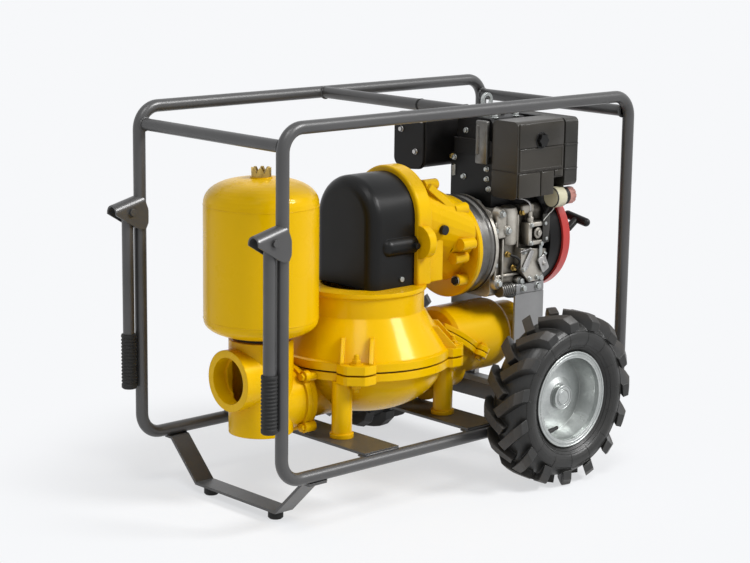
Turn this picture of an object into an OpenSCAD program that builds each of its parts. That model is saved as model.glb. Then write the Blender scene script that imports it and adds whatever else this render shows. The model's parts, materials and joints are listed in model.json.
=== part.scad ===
/* [Frame] */
// Length of each side hoop between tube centre lines
frame_l = 1075; // [1060:5:1300]
// Distance between the two side hoops
frame_w = 490; // [480:5:600]
// Height of each side hoop between tube centre lines
frame_h = 745; // [720:5:900]
// Outside diameter of the frame tube
tube_d = 28; // [26:1:32]
// Wall of the frame tube
tube_wall = 2.5; // [2:0.5:4]
// Bend radius of the hoops at the tube centre line
bend_r = 50; // [42:1:80]
// Height of the bottom tubes' centre line above the ground
ground_h = 128; // [115:1:150]
// Diameter of the cross tubes between the hoops
cross_d = 27; // [22:0.5:27]
// Distance of the lifting cross tube from the handle-end posts
lift_x = 534; // [450:1:640]
// Width of the flat base bars
bar_w = 100; // [80:1:110]
// Thickness of the flat base bars
bar_t = 6; // [4:0.5:10]

/* [Foot plate] */
// Distance of the foot plate's middle from the handle-end posts
foot_x = 95; // [70:1:140]
// Width of the foot plate's flat bar
foot_w = 50; // [40:1:60]
// Half distance between the two rubber feet
foot_y = 113; // [90:1:125]
// Radius of a rubber foot
foot_r = 17; // [12:0.5:20]
// Height of a rubber foot
foot_h = 20; // [12:0.5:30]

/* [Handles] */
// Outside diameter of the handle tube
handle_d = 26; // [20:0.5:26]
// Height of the handle pivot above the bottom tubes
pivot_h = 517; // [480:1:560]
// Distance of the handle pivot in front of the post
pivot_out = 34; // [33:0.5:42]
// Length of the handle below its pivot
handle_l = 398; // [300:1:420]
// Length of the rubber grip
grip_l = 120; // [90:1:140]
// Outside radius of the rubber grip
grip_r = 17.5; // [16:0.5:18]
// Radius of the pivot bolt
pivot_r = 5; // [4:0.5:6]
// Reach of the handle bracket in front of the post
bracket_reach = 76; // [70:1:90]
// Sheet thickness of the handle bracket
bracket_t = 4; // [3:0.5:6]
// Downward slope of the bracket's hood in degrees
hood_slope = 14; // [8:1:16]

/* [Wheels] */
// Distance of the wheel axis from the handle-end posts
wheel_x = 770; // [740:1:800]
// Outside radius of the tyre over its lugs
tyre_r = 203; // [195:1:215]
// Section width of the tyre
tyre_w = 112; // [100:1:124]
// Height of the tread lugs
lug_h = 18; // [10:0.5:22]
// Width of a tread lug
lug_w = 22; // [16:0.5:26]
// Number of lugs on each side of the tyre
lug_count = 15; // [12:1:18]
// Radius of the rim's bead seat
rim_r = 101.6; // [101.6:0.1:103]
// Radius of the wheel spindle
spindle_r = 12.5; // [10:0.5:15]
// Side of the square axle beam
beam_w = 38; // [30:1:40]
// Height of the axle beam's middle above the bottom tubes
beam_h = 45; // [40:1:46]

/* [Pump] */
// Distance of the pump axis from the handle-end posts
pump_x = 445; // [435:1:455]
// Height of the diaphragm joint above the base bars
joint_h = 150; // [145:1:160]
// Radius of the pump's clamping flange
flange_r = 207; // [204:1:212]
// Thickness of each clamping flange
flange_t = 18; // [14:0.5:22]
// Radius of the bolt circle through the four ears
ear_pcd_r = 211; // [208:0.5:214]
// Outside radius of an ear
ear_r = 25; // [20:0.5:27]
// Wall of the pump castings
cast_wall = 10; // [7:0.5:12]
// Depth of the bowl below its flange
bowl_depth = 110; // [100:1:118]
// Radius of the bell's neck
bell_r = 144; // [138:1:150]
// Height of the bell above the diaphragm joint
bell_h = 165; // [160:1:172]
// Thickness of the rubber diaphragm
diaphragm_t = 4; // [3:0.5:6]
// Radius of the diaphragm's clamping plates
plate_r = 100; // [80:1:110]
// Throw of the crank eccentric
throw = 22; // [15:0.5:24]
// Distance of the legs from the pump axis along the trolley
leg_dx = 158; // [154:1:162]
// Distance of the legs from the pump axis across the trolley
leg_dy = 112; // [108:1:118]
// Radius of a pump leg
leg_r = 23; // [18:0.5:24]

/* [Valve boxes] */
// Radius of the hose port bores
port_r = 52; // [48:0.5:54]
// Outside radius of the hose ports
port_out_r = 68.5; // [64:0.5:70]
// Radius of the passage between bowl and valve boxes
passage_r = 46; // [40:0.5:48]
// Distance from the pump axis to the valve box joints
neck_reach = 212; // [208:1:218]
// Height of the valve box joints below the diaphragm joint
neck_drop = 70; // [66:1:74]
// Radius of the valve box joint flanges
neck_flange_r = 77; // [74:0.5:77]
// Inside radius of the discharge valve chamber
chamber_r = 63; // [60:0.5:66]
// Inside radius of the suction valve chamber
drum_r = 76; // [72:0.5:78]
// Distance from the pump axis to the discharge box's upright axis
discharge_x = 299; // [295:1:306]
// Length of the discharge port in front of that axis
discharge_reach = 93; // [86:1:100]
// Height of the suction port above the valve box joints
suction_rise = 58; // [56:1:62]
// Length of the suction chamber
drum_l = 190; // [180:1:200]
// Radius of a flap valve
flap_r = 52; // [50:0.5:54]

/* [Air vessel] */
// Radius of the air vessel
vessel_r = 127; // [120:1:132]
// Height of the air vessel's straight wall
vessel_h = 248; // [220:1:270]
// Depth of the air vessel's domed top
dome_h = 61; // [50:1:70]
// Depth of the air vessel's domed base
base_dome_h = 44; // [36:1:56]
// Wall of the air vessel
vessel_wall = 4; // [3:0.5:6]
// Radius of the castellated brass collar
collar_r = 22; // [18:0.5:26]
// Height of the castellated brass collar
collar_h = 20; // [14:0.5:24]

/* [Drive] */
// Height of the engine shaft above the diaphragm joint
shaft_h = 219; // [215:1:226]
// Height of the crank axis above the engine shaft
gear_rise = 91; // [86:1:98]
// Gear module
gear_m = 2; // [1.8:0.1:2.1]
// Teeth of each pinion
pinion_teeth = 12; // [11:1:13]
// Teeth of each gear
gear_teeth = 54; // [50:1:55]
// Pressure angle of the teeth
pressure_angle = 25; // [20:1:25]
// Thinning of each tooth for backlash
backlash = 0.3; // [0.2:0.05:0.5]
// Face width of the gears
gear_w = 22; // [18:1:26]
// Radius of the crank output shaft
crank_r = 20; // [16:0.5:21]
// Half width of the crank cover
cover_r = 100; // [96:1:104]
// Wall of the crank cover
cover_wall = 3; // [2:0.5:4]
// Edge radius of the crank cover
cover_fillet = 28; // [15:1:34]
// Length of the crank cover in front of the pump axis
cover_front = 60; // [54:1:66]
// Length of the crank cover behind the pump axis
cover_back = 70; // [66:1:76]
// Length of the gearbox housing
gearbox_l = 202; // [196:1:210]
// Radius of the gearbox's engine flange
gearbox_r = 122; // [118:1:126]

/* [Engine] */
// Length of the adapter ring
adapter_l = 45; // [40:1:60]
// Length of the crankcase
crankcase_l = 183; // [175:1:195]
// Half width of the crankcase
crankcase_w = 92; // [86:1:98]
// Depth of the crankcase below the engine shaft
sump_h = 121; // [116:1:126]
// Height of the crankcase top above the engine shaft
deck_h = 91; // [88:1:96]
// Height of the finned cylinder
cylinder_h = 120; // [100:1:130]
// Height of the rocker cover
rocker_h = 90; // [80:1:96]
// Length of the fan housing
fan_l = 40; // [34:1:46]
// Radius of the fan housing
fan_r = 126; // [120:1:130]
// Length of the recoil cover
recoil_l = 27; // [24:1:32]
// Radius of the recoil cover
recoil_r = 132; // [128:1:136]
// Upward slope of the starter pull in degrees
pull_slope = 34; // [20:1:45]
// Radius of the starter rope
rope_r = 2.2; // [1.5:0.1:3]

/* [Hidden] */
$fn = 48;
// Running clearance of shafts and pins, on the radius
fit = 0.05;
// Gap between pieces that pass each other
gap = 0.5;
// Overlap of cutting tools past a face
eps = 1;

// Frame places: x from the handle-end posts, z from the bottom tubes
tube_r = tube_d / 2;
hoop_y = frame_w / 2;
x_post = -(frame_l + tube_r - bracket_reach) / 2;
z_deck = tube_r + bar_t;
cross_end_z = frame_h - 37;
cross_end_x = 7;
cope = 10;
vent_r = 3;

// Pump places
z_joint = z_deck + joint_h;
bell_bottom = z_joint + diaphragm_t / 2;
z_neck = z_joint - neck_drop;
z_shaft = z_joint + shaft_h;
z_crank = z_shaft + gear_rise;
z_bell_top = z_joint + bell_h;
x_gear = pump_x + cover_back;
x_flange = x_gear + gearbox_l;
x_engine = x_flange + adapter_l;
x_fan = x_engine + crankcase_l;
x_recoil = x_fan + fan_l;
x_recoil_end = x_recoil + recoil_l;
eye_stud_r = 6;
ear_out = 2;
nut_af = 19;
nut_h = 11;

// Gear train: engine shaft a, countershaft b, crank shaft c
centre_d = gear_m * (pinion_teeth + gear_teeth) / 2;
counter_y = -sqrt(centre_d * centre_d - gear_rise * gear_rise / 4);
counter_z = z_shaft + gear_rise / 2;
angle_ab = atan2(counter_z - z_shaft, counter_y);
angle_bc = atan2(z_crank - counter_z, -counter_y);
gear_tip_r = gear_m * (gear_teeth / 2 + 1);
stage_two_x = x_gear + 55;
stage_one_x = x_flange - 67;

// Puts the children in the frame of the trolley
module trolley() {
    translate([x_post, 0, ground_h]) children();
}

// Round bar along +X from the origin
module xbar(r, l) {
    rotate([0, 90, 0]) cylinder(r = r, h = l);
}

// Round bar along Y, centred
module ybar(r, l) {
    rotate([90, 0, 0]) cylinder(r = r, h = l, center = true);
}

// Ring along +X from the origin
module xring(r_out, r_in, l) {
    difference() {
        xbar(r_out, l);
        translate([-eps, 0, 0]) xbar(r_in, l + 2 * eps);
    }
}

// Hexagon prism along +Z
module hex(af, h) {
    cylinder(d = af / cos(30), h = h, $fn = 6);
}

// Rectangle with round corners, centred
module round_rect(w, h, r) {
    square([w - 2 * r, h], center = true);
    square([w, h - 2 * r], center = true);
    for (sx = [-1, 1], sy = [-1, 1])
        translate([sx * (w / 2 - r), sy * (h / 2 - r)]) circle(r = r);
}

// Box with upright round edges, from the given low corner
module round_box(low, size, r) {
    translate([low[0] + size[0] / 2, low[1] + size[1] / 2, low[2]])
        linear_extrude(size[2]) round_rect(size[0], size[1], r);
}

// Box with round edges along X, from the given low corner
module round_box_x(low, size, r) {
    translate([low[0], low[1] + size[1] / 2, low[2] + size[2] / 2])
        rotate([90, 0, 90]) linear_extrude(size[0]) round_rect(size[1], size[2], r);
}

// Box with round edges along Y, from the given low corner
module round_box_y(low, size, r) {
    translate([low[0] + size[0] / 2, low[1] + size[1], low[2] + size[2] / 2])
        rotate([90, 0, 0]) linear_extrude(size[1]) round_rect(size[0], size[2], r);
}

// Points of an elliptic arc
function arc(c, a, b, from, to, n) =
    [for (i = [0:n]) let (t = from + (to - from) * i / n) [c[0] + a * cos(t), c[1] + b * sin(t)]];

// Closed loop of one side hoop in the XZ plane
module hoop_loop(d) {
    for (x = [0, frame_l])
        translate([x, 0, bend_r]) cylinder(d = d, h = frame_h - 2 * bend_r);
    for (z = [0, frame_h])
        translate([bend_r, 0, z]) xbar(d / 2, frame_l - 2 * bend_r);
    for (corner = [[0, 0, 180], [1, 0, 270], [1, 1, 0], [0, 1, 90]])
        translate([bend_r + corner[0] * (frame_l - 2 * bend_r), 0,
            bend_r + corner[1] * (frame_h - 2 * bend_r)])
            rotate([90, 0, 0]) rotate([0, 0, corner[2]])
                rotate_extrude(angle = 90) translate([bend_r, 0]) circle(d = d);
}

// One bent tube hoop with its vent hole
module hoop(side) {
    trolley() translate([0, side * hoop_y, 0]) difference() {
        hoop_loop(tube_d);
        hoop_loop(tube_d - 2 * tube_wall);
        translate([frame_l / 2, 0, -tube_d]) cylinder(r = vent_r, h = tube_d);
    }
}

module near_hoop() {
    color("dimgray") hoop(-1);
}

module far_hoop() {
    color("dimgray") hoop(1);
}

// Cross tubes at both upper ends and at the lifting point
module cross_tubes() {
    span = frame_w - tube_d + cope;
    color("dimgray") trolley()
        for (place = [[cross_end_x, cross_end_z], [lift_x, frame_h], [frame_l - cross_end_x, cross_end_z]])
            difference() {
                translate([place[0], 0, place[1]]) ybar(cross_d / 2, span);
                translate([place[0], 0, place[1]]) ybar(cross_d / 2 - tube_wall, span + 2 * eps);
                for (side = [-1, 1])
                    translate([0, side * hoop_y, 0]) hoop_loop(tube_d);
            }
}

// Flat bars on the bottom tubes, under the pump's legs and the engine
engine_bar_x = x_engine + 133;
module base_bars() {
    color("dimgray") trolley()
        for (x = [pump_x - leg_dx, pump_x + leg_dx, engine_bar_x])
            translate([x - bar_w / 2, -hoop_y, tube_r]) cube([bar_w, frame_w, bar_t]);
}

// Trapezoid flat bar under the handle end
module foot_plate() {
    tab = 16;
    corner_y = foot_y + foot_r + 8;
    low = foot_h + bar_t - ground_h;
    slope = atan2(-tube_r - low, hoop_y - tab - corner_y);
    mitre = bar_t * tan(slope / 2);
    half = [[hoop_y + tab / 2, -tube_r], [hoop_y - tab, -tube_r], [corner_y, low]];
    under = [for (q = half) [q[0] + (q[0] > hoop_y ? 0 : mitre), q[1] - bar_t]];
    outline = concat(half, [for (i = [2:-1:0]) [-half[i][0], half[i][1]]],
        [for (q = under) [-q[0], q[1]]], [for (i = [2:-1:0]) under[i]]);
    color("dimgray") trolley() translate([foot_x - foot_w / 2, 0, 0])
        rotate([90, 0, 90]) linear_extrude(foot_w) polygon(outline);
}

module rubber_feet() {
    chamfer = 3;
    color("black") trolley()
        for (side = [-1, 1])
            translate([foot_x, side * foot_y, -ground_h]) rotate_extrude()
                polygon([[0, 0], [foot_r - chamfer, 0], [foot_r, chamfer], [foot_r, foot_h - chamfer],
                    [foot_r - chamfer, foot_h], [0, foot_h]]);
}

// Wheel places
wheel_z = tyre_r - ground_h;
wheel_y = hoop_y + tube_r + 8 + tyre_w / 2;
axle_plate_t = 8;
hub_l = 47;
hub_r = spindle_r + 11;
spindle_end = 9;
rim_half = 40;

// Square tube between the stub axles' plates
module axle_beam() {
    span = frame_w - tube_d - 2 * axle_plate_t;
    color("black") trolley() translate([wheel_x, 0, beam_h]) rotate([90, 0, 0])
        linear_extrude(span, center = true) difference() {
            square(beam_w, center = true);
            square(beam_w - 2 * bar_t, center = true);
        }
}

// Plate with a spindle and its end collar on each side
module stub_axles() {
    plate_w = 90;
    plate_top = wheel_z + spindle_r + 12;
    plate_low = beam_h - beam_w / 2 - 32;
    inner = hoop_y - tube_r - axle_plate_t;
    collar_r = spindle_r + 5;
    collar_w = spindle_end - 2 - gap;
    color("dimgray") trolley()
        for (side = [-1, 1]) {
            round_box_y([wheel_x - plate_w / 2, side > 0 ? inner : -inner - axle_plate_t, plate_low],
                [plate_w, axle_plate_t, plate_top - plate_low], 12);
            translate([wheel_x, side * (inner + (wheel_y + spindle_end - inner) / 2), wheel_z])
                ybar(spindle_r, wheel_y + spindle_end - inner);
            translate([wheel_x, side * (wheel_y + spindle_end - collar_w / 2), wheel_z])
                ybar(collar_r, collar_w);
        }
}

// Turns a wheel's own +Z axis outward on its side
module wheel_place(side) {
    trolley() translate([wheel_x, side * wheel_y, wheel_z]) rotate([-90 * side, 0, 0]) children();
}

// Agricultural tyre: hollow carcass with two rows of slanted lugs
carcass_r = tyre_r - lug_h;
bead_w = 36;
lip_r = rim_r + 11;
module tyre(side) {
    wall = 9;
    bulge_r = rim_r + 44;
    depth = carcass_r - bulge_r;
    half = tyre_w / 2 - 1;
    outer = arc([bulge_r, 0], depth, half, -128, 128, 28);
    inner = arc([bulge_r, 0], depth - wall, half - wall, 122, -122, 28);
    bead = [[lip_r + 1, bead_w], [rim_r, bead_w], [rim_r, bead_w - 12]];
    section = concat([[rim_r, -bead_w], [lip_r + 1, -bead_w]], outer, bead, inner, [[rim_r, -bead_w + 12]]);
    shoulder = 12;
    side_low = carcass_r - 20;
    tread = concat([[side_low, -tyre_w / 2], [carcass_r, -tyre_w / 2], [tyre_r - 2, shoulder - tyre_w / 2],
        [tyre_r, 2 * shoulder - tyre_w / 2], [tyre_r, tyre_w / 2 - 2 * shoulder],
        [tyre_r - 2, tyre_w / 2 - shoulder], [carcass_r, tyre_w / 2], [side_low, tyre_w / 2]],
        arc([bulge_r, 0], depth - wall / 2, half - wall / 2, 75, -75, 16));
    lug_slant = 40;
    lug_l = tyre_w * 0.62 / cos(lug_slant);
    lug_z = tyre_w / 4 + 1;
    pitch = 360 / lug_count;
    wheel_place(side) {
        rotate_extrude() polygon(section);
        intersection() {
            rotate_extrude() polygon(tread);
            for (i = [0:lug_count - 1], row = [-1, 1])
                rotate([0, 0, 90 + pitch * (i + (row + 1) / 4)])
                    translate([carcass_r, 0, row * lug_z]) rotate([row * lug_slant, 0, 0])
                        cube([2 * lug_h + 8, lug_w, lug_l], center = true);
        }
    }
}

// Pressed steel rim with dished disc, hub, cap and valve hole
module rim(side) {
    wall = 3;
    dish = -13;
    well_r = rim_r - 14;
    cap_r = hub_r + 4;
    cap_z = spindle_end + 6;
    barrel = [[lip_r, -bead_w - 1], [lip_r, -rim_half], [rim_r - wall - 2, -rim_half],
        [rim_r - wall - 2, -bead_w + 6], [well_r - wall, -bead_w + 14], [well_r - wall, dish],
        [hub_r + 22, dish + 8], [hub_r + 10, dish + 14], [0, dish + 14], [0, dish + 14 + wall],
        [hub_r + 9, dish + 14 + wall], [hub_r + 22, dish + 8 + wall], [well_r - wall, dish + wall],
        [rim_r - wall - 2, bead_w - 8], [rim_r - wall - 2, rim_half], [lip_r, rim_half],
        [lip_r, bead_w + 1], [rim_r, bead_w], [rim_r, bead_w - 10], [well_r, dish + 6],
        [well_r, -bead_w + 13], [rim_r, -bead_w + 6], [rim_r, -bead_w]];
    wheel_place(side) difference() {
        union() {
            rotate_extrude() polygon(barrel);
            translate([0, 0, -hub_l]) cylinder(r = hub_r, h = hub_l + 2);
            cylinder(r = cap_r, h = cap_z);
        }
        translate([0, 0, -hub_l - eps]) cylinder(r = spindle_r + fit, h = hub_l + 2 + 2 * eps);
        translate([0, 0, 2]) cylinder(r = spindle_r + 5 + gap, h = spindle_end - 2 + gap);
    }
}

module near_tyre() {
    color("#2b2926") tyre(-1);
}

module near_rim() {
    color("silver") rim(-1);
}

module far_tyre() {
    color("#2b2926") tyre(1);
}

module far_rim() {
    color("silver") rim(1);
}

// Side outline of a handle bracket, x from the post and z from the pivot
module bracket_side() {
    top = 45;
    polygon([[-bracket_reach, top], [-bracket_reach, -4], [-24, -36], [-10, -42], [4, -41], [10, -29],
        [10, 3], [0, 28], [0, top]]);
}

// Channel of a handle bracket: a round hood above two cheeks, along the hood
module bracket_channel(r) {
    circle(r = r);
    translate([-r, -2 * bracket_reach]) square([2 * r, 2 * bracket_reach]);
}

module handle_brackets() {
    hood_r = tube_r + bracket_t;
    hood_rise = 9;
    color("dimgray") trolley()
        for (side = [-1, 1])
            translate([0, side * hoop_y, pivot_h]) difference() {
                intersection() {
                    rotate([90, 0, 0]) linear_extrude(4 * tube_d, center = true) bracket_side();
                    translate([-pivot_out, 0, hood_rise]) rotate([0, -hood_slope, 0]) rotate([90, 0, 90])
                        linear_extrude(3 * bracket_reach, center = true) difference() {
                            bracket_channel(hood_r);
                            bracket_channel(tube_r);
                        }
                }
                translate([0, 0, -pivot_h]) hoop_loop(tube_d);
                translate([-pivot_out, 0, 0]) ybar(pivot_r, 4 * tube_d);
            }
}

// Bolts and nuts that carry the folding handles
module handle_pivots() {
    cheek = tube_r + bracket_t;
    head_h = 6;
    color("gray") trolley()
        for (side = [-1, 1])
            translate([-pivot_out, side * hoop_y, pivot_h]) {
                ybar(pivot_r, 2 * (cheek + head_h));
                for (end = [-1, 1])
                    translate([0, end * cheek, 0]) rotate([-90 * end, 0, 0]) hex(3 * pivot_r, head_h);
            }
}

module handle_place(side) {
    trolley() translate([-pivot_out, side * hoop_y, pivot_h]) children();
}

// Folding handle tube with its round, drilled upper end
module handle(side) {
    handle_wall = 2.5;
    solid_l = 20;
    handle_place(side) difference() {
        union() {
            translate([0, 0, -handle_l]) cylinder(d = handle_d, h = handle_l);
            sphere(d = handle_d);
        }
        translate([0, 0, -handle_l - eps])
            cylinder(d = handle_d - 2 * handle_wall, h = handle_l - solid_l + eps);
        ybar(pivot_r + fit, 2 * handle_d);
    }
}

// Ribbed rubber sleeve closed over the handle's end
module grip(side) {
    rib_count = 14;
    rib_depth = 1.5;
    end_t = 5;
    pitch = (grip_l - 2 * end_t) / rib_count;
    ribs = [for (i = [0:rib_count - 1], edge = [[0.1, 0], [0.3, rib_depth], [0.6, rib_depth], [0.8, 0]])
        [grip_r - edge[1], end_t + pitch * (i + edge[0])]];
    outline = concat([[0, -end_t], [grip_r - 3, -end_t], [grip_r, -end_t + 3]], ribs,
        [[grip_r, grip_l - 3], [grip_r - 1, grip_l], [handle_d / 2, grip_l], [handle_d / 2, 0], [0, 0]]);
    handle_place(side) translate([0, 0, -handle_l]) rotate_extrude() polygon(outline);
}

module near_handle() {
    color("dimgray") handle(-1);
}

module near_grip() {
    color("black") grip(-1);
}

module far_handle() {
    color("dimgray") handle(1);
}

module far_grip() {
    color("black") grip(1);
}

// Puts the children on the pump axis at the diaphragm joint
module pump_place() {
    trolley() translate([pump_x, 0, z_joint]) children();
}

// Repeats the children at the four ears
module at_ears() {
    for (a = [45:90:315])
        rotate([0, 0, a]) translate([ear_pcd_r, 0, 0]) children();
}

// Plate of an ear round its stud, wider towards the flange
module ear(h) {
    side = [[-32, 44], [2, 44], [20, 28], [ear_r, 20]];
    linear_extrude(h)
        polygon(concat(side, [for (i = [3:-1:0]) [side[i][0], -side[i][1]]]));
}

// Repeats the children at the four bolts of a valve box joint
neck_bolt_r = neck_flange_r + 5;
neck_ear_r = 13;
module at_neck_bolts() {
    for (a = [45:90:315])
        rotate([a, 0, 0]) translate([0, neck_bolt_r, 0]) children();
}

neck_t = 14;
bolt_r = 5;
bolt_in = 12;

// Round joint flange with four bolt ears, along +X; the ears stand proud by out on one side
module neck_flange(out) {
    xbar(neck_flange_r, neck_t);
    at_neck_bolts() translate([min(out, 0), 0, 0]) xbar(neck_ear_r, neck_t + abs(out));
}

// Joint flange of the bowl, cut flat below the diaphragm joint
module bowl_flange(out) {
    intersection() {
        neck_flange(out);
        translate([-neck_t, -neck_reach, neck_drop - diaphragm_t - neck_reach])
            cube([3 * neck_t, 2 * neck_reach, neck_reach]);
    }
}

bowl_rim = flange_r - 19;

// Lower pump casting: bowl, clamping flange, legs and two necks
module pump_bowl() {
    foot_pad_r = leg_r + 4;
    foot_pad_t = 10;
    top = -diaphragm_t / 2;
    low = top - flange_t;
    neck_r = passage_r + cast_wall;
    pole = 84;
    outline = concat([[0, top], [flange_r, top], [flange_r, low]],
        arc([0, low], bowl_rim, bowl_depth, 0, -pole, 20), [[0, low - bowl_depth * sin(pole)]]);
    hollow = concat([[0, top + eps], [bowl_rim - cast_wall, top + eps]],
        arc([0, low], bowl_rim - cast_wall, bowl_depth - cast_wall, 0, -pole, 20),
        [[0, low - (bowl_depth - cast_wall) * sin(pole)]]);
    color("gold") pump_place() difference() {
        union() {
            rotate_extrude() polygon(outline);
            at_ears() translate([0, 0, low - ear_out]) ear(flange_t + ear_out);
            for (sx = [-1, 1], sy = [-1, 1])
                translate([sx * leg_dx, sy * leg_dy, -joint_h]) {
                    cylinder(r = leg_r, h = joint_h + low + eps);
                    cylinder(r = foot_pad_r, h = foot_pad_t);
                }
            translate([-neck_reach, 0, -neck_drop]) xbar(neck_r, 2 * neck_reach);
            translate([-neck_reach, 0, -neck_drop]) bowl_flange(ear_out);
            translate([neck_reach - neck_t, 0, -neck_drop]) bowl_flange(-ear_out);
        }
        rotate_extrude() polygon(hollow);
        translate([-neck_reach - eps, 0, -neck_drop]) xbar(passage_r, 2 * (neck_reach + eps));
        at_ears() translate([0, 0, low - 2 * ear_out])
            cylinder(r = eye_stud_r + gap, h = flange_t + 3 * ear_out);
        for (x = [-neck_reach - eps, neck_reach - bolt_in])
            translate([x, 0, -neck_drop]) at_neck_bolts() xbar(bolt_r, bolt_in + eps);
    }
}

// Tapped posts for the crank cover's screws
post_t = 6;
post_w = 24;
post_h = 30;
post_y = cover_r - cover_wall - post_t / 2;

// Upper pump casting: flange, two-step cone, neck and ribbed ears
module pump_bell() {
    base = diaphragm_t / 2;
    shelf = base + flange_t;
    cone_mid_r = (bell_r + flange_r) / 2 - 3;
    cone_mid = shelf + 44;
    neck_low = bell_h - 57;
    rim_out = 5;
    rim_t = 9;
    hole_r = bell_r - 49;
    outline = [[0, base], [flange_r, base], [flange_r, shelf], [flange_r - 8, shelf + 3],
        [cone_mid_r, cone_mid], [bell_r, neck_low], [bell_r, bell_h - rim_t - rim_out],
        [bell_r + rim_out, bell_h - rim_t], [bell_r + rim_out, bell_h], [0, bell_h]];
    hollow = [[0, base - eps], [bowl_rim - cast_wall, base - eps], [flange_r - 9 - cast_wall, shelf],
        [cone_mid_r - cast_wall, cone_mid], [bell_r - cast_wall, neck_low],
        [bell_r - cast_wall, bell_h - cast_wall], [0, bell_h - cast_wall]];
    rib_t = 9;
    rib_spread = 32;
    rib_end = ear_pcd_r + 8;
    rib_top = cone_mid + 8;
    rib = [[bell_r, shelf], [rib_end, shelf], [rib_end, shelf + 6], [cone_mid_r + 4, rib_top],
        [bell_r, rib_top]];
    color("gold") pump_place() difference() {
        union() {
            rotate_extrude() polygon(outline);
            at_ears() translate([0, 0, base]) ear(flange_t + ear_out);
            for (a = [45:90:315], s = [-1, 1])
                rotate([0, 0, a]) translate([0, s * rib_spread + rib_t / 2, 0])
                    rotate([90, 0, 0]) linear_extrude(rib_t) polygon(rib);
            for (side = [-1, 1])
                translate([screw_x - cover_front - post_w / 2, side * post_y - post_t / 2, bell_h - eps])
                    cube([post_w, post_t, post_h + eps]);
        }
        rotate_extrude() polygon(hollow);
        cylinder(r = hole_r, h = bell_h + eps);
        for (side = [-1, 1])
            translate([screw_x - cover_front, side * post_y, z_cover - z_joint + screw_z])
                ybar(screw_r, 2 * post_t);
        at_ears() translate([0, 0, base - eps])
            cylinder(r = eye_stud_r + gap, h = flange_t + 3 * ear_out);
    }
}

// Clamping studs through the ears with a nut at each end
module flange_bolts() {
    grip_half = diaphragm_t / 2 + flange_t + ear_out;
    thread_out = 8;
    color("gold") pump_place() at_ears() {
        translate([0, 0, -grip_half - nut_h - thread_out])
            cylinder(r = eye_stud_r, h = 2 * (grip_half + nut_h + thread_out));
        translate([0, 0, grip_half]) hex(nut_af, nut_h);
        translate([0, 0, -grip_half - nut_h]) hex(nut_af, nut_h);
    }
}

// Rubber diaphragm, drawn up to the top of the stroke
plate_t = 10;
module diaphragm() {
    clamp_r = flange_r - 7;
    rise = throw;
    half = diaphragm_t / 2;
    fold_r = bowl_rim - cast_wall - 4;
    knee_r = (plate_r + fold_r) / 2 - 8;
    skin = [[0, rise], [plate_r + 4, rise], [knee_r, rise * 0.72], [fold_r, 0], [clamp_r, 0]];
    outline = concat([for (q = skin) [q[0], q[1] + half]],
        [for (i = [4:-1:0]) [skin[i][0], skin[i][1] - half]]);
    color("#222222") pump_place() rotate_extrude() polygon(outline);
}

// Plates that hold the diaphragm's middle
module diaphragm_plates() {
    edge = 4;
    color("gray") pump_place()
        for (side = [-1, 1])
            translate([0, 0, throw + side * (diaphragm_t / 2 + 0.2)]) mirror([0, 0, side > 0 ? 0 : 1])
                rotate_extrude() polygon([[0, 0], [plate_r, 0], [plate_r, plate_t - edge],
                    [plate_r - edge, plate_t], [0, plate_t]]);
}

// Crank places from the diaphragm joint
crank_up = shaft_h + gear_rise;
eccentric_r = throw + crank_r + 4;
eccentric_w = 26;
ring_r = eccentric_r + 16;

// Rod from the eccentric to the diaphragm plates
module connecting_rod() {
    foot = throw + diaphragm_t / 2 + 0.2 + plate_t;
    foot_rod_r = 45;
    foot_rod_t = 12;
    shank = [24, 36];
    shank_top = crank_up + throw - eccentric_r - 4;
    color("gray") pump_place() difference() {
        union() {
            translate([-eccentric_w / 2, 0, crank_up + throw]) xbar(ring_r, eccentric_w);
            translate([-shank[0] / 2, -shank[1] / 2, foot]) cube([shank[0], shank[1], shank_top - foot]);
            translate([0, 0, foot]) cylinder(r = foot_rod_r, h = foot_rod_t);
        }
        translate([-eccentric_w, 0, crank_up + throw]) xbar(eccentric_r + fit, 2 * eccentric_w);
    }
}

// Crank shaft with its eccentric at the top of the stroke
shaft_end_x = x_gear + 123;
module eccentric_shaft() {
    color("silver") trolley() {
        translate([pump_x - eccentric_w / 2 - gap, 0, z_crank + throw])
            xbar(eccentric_r, eccentric_w + 2 * gap);
        translate([pump_x, 0, z_crank]) xbar(crank_r, shaft_end_x - pump_x);
    }
}

// Places of the two valve boxes
x_discharge = pump_x - discharge_x;
x_disch_face = pump_x - neck_reach;
x_suct_face = pump_x + neck_reach;
z_port = z_neck + 64;
z_suction = z_neck + suction_rise;
box_low = z_deck + 16;
box_top = z_joint + 78;
flap_t = 8;
flap_pin_r = 4;
flap_arm = flap_r + 4;
seat_t = 12;
port_step = 6;
socket_l = 34;

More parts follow.
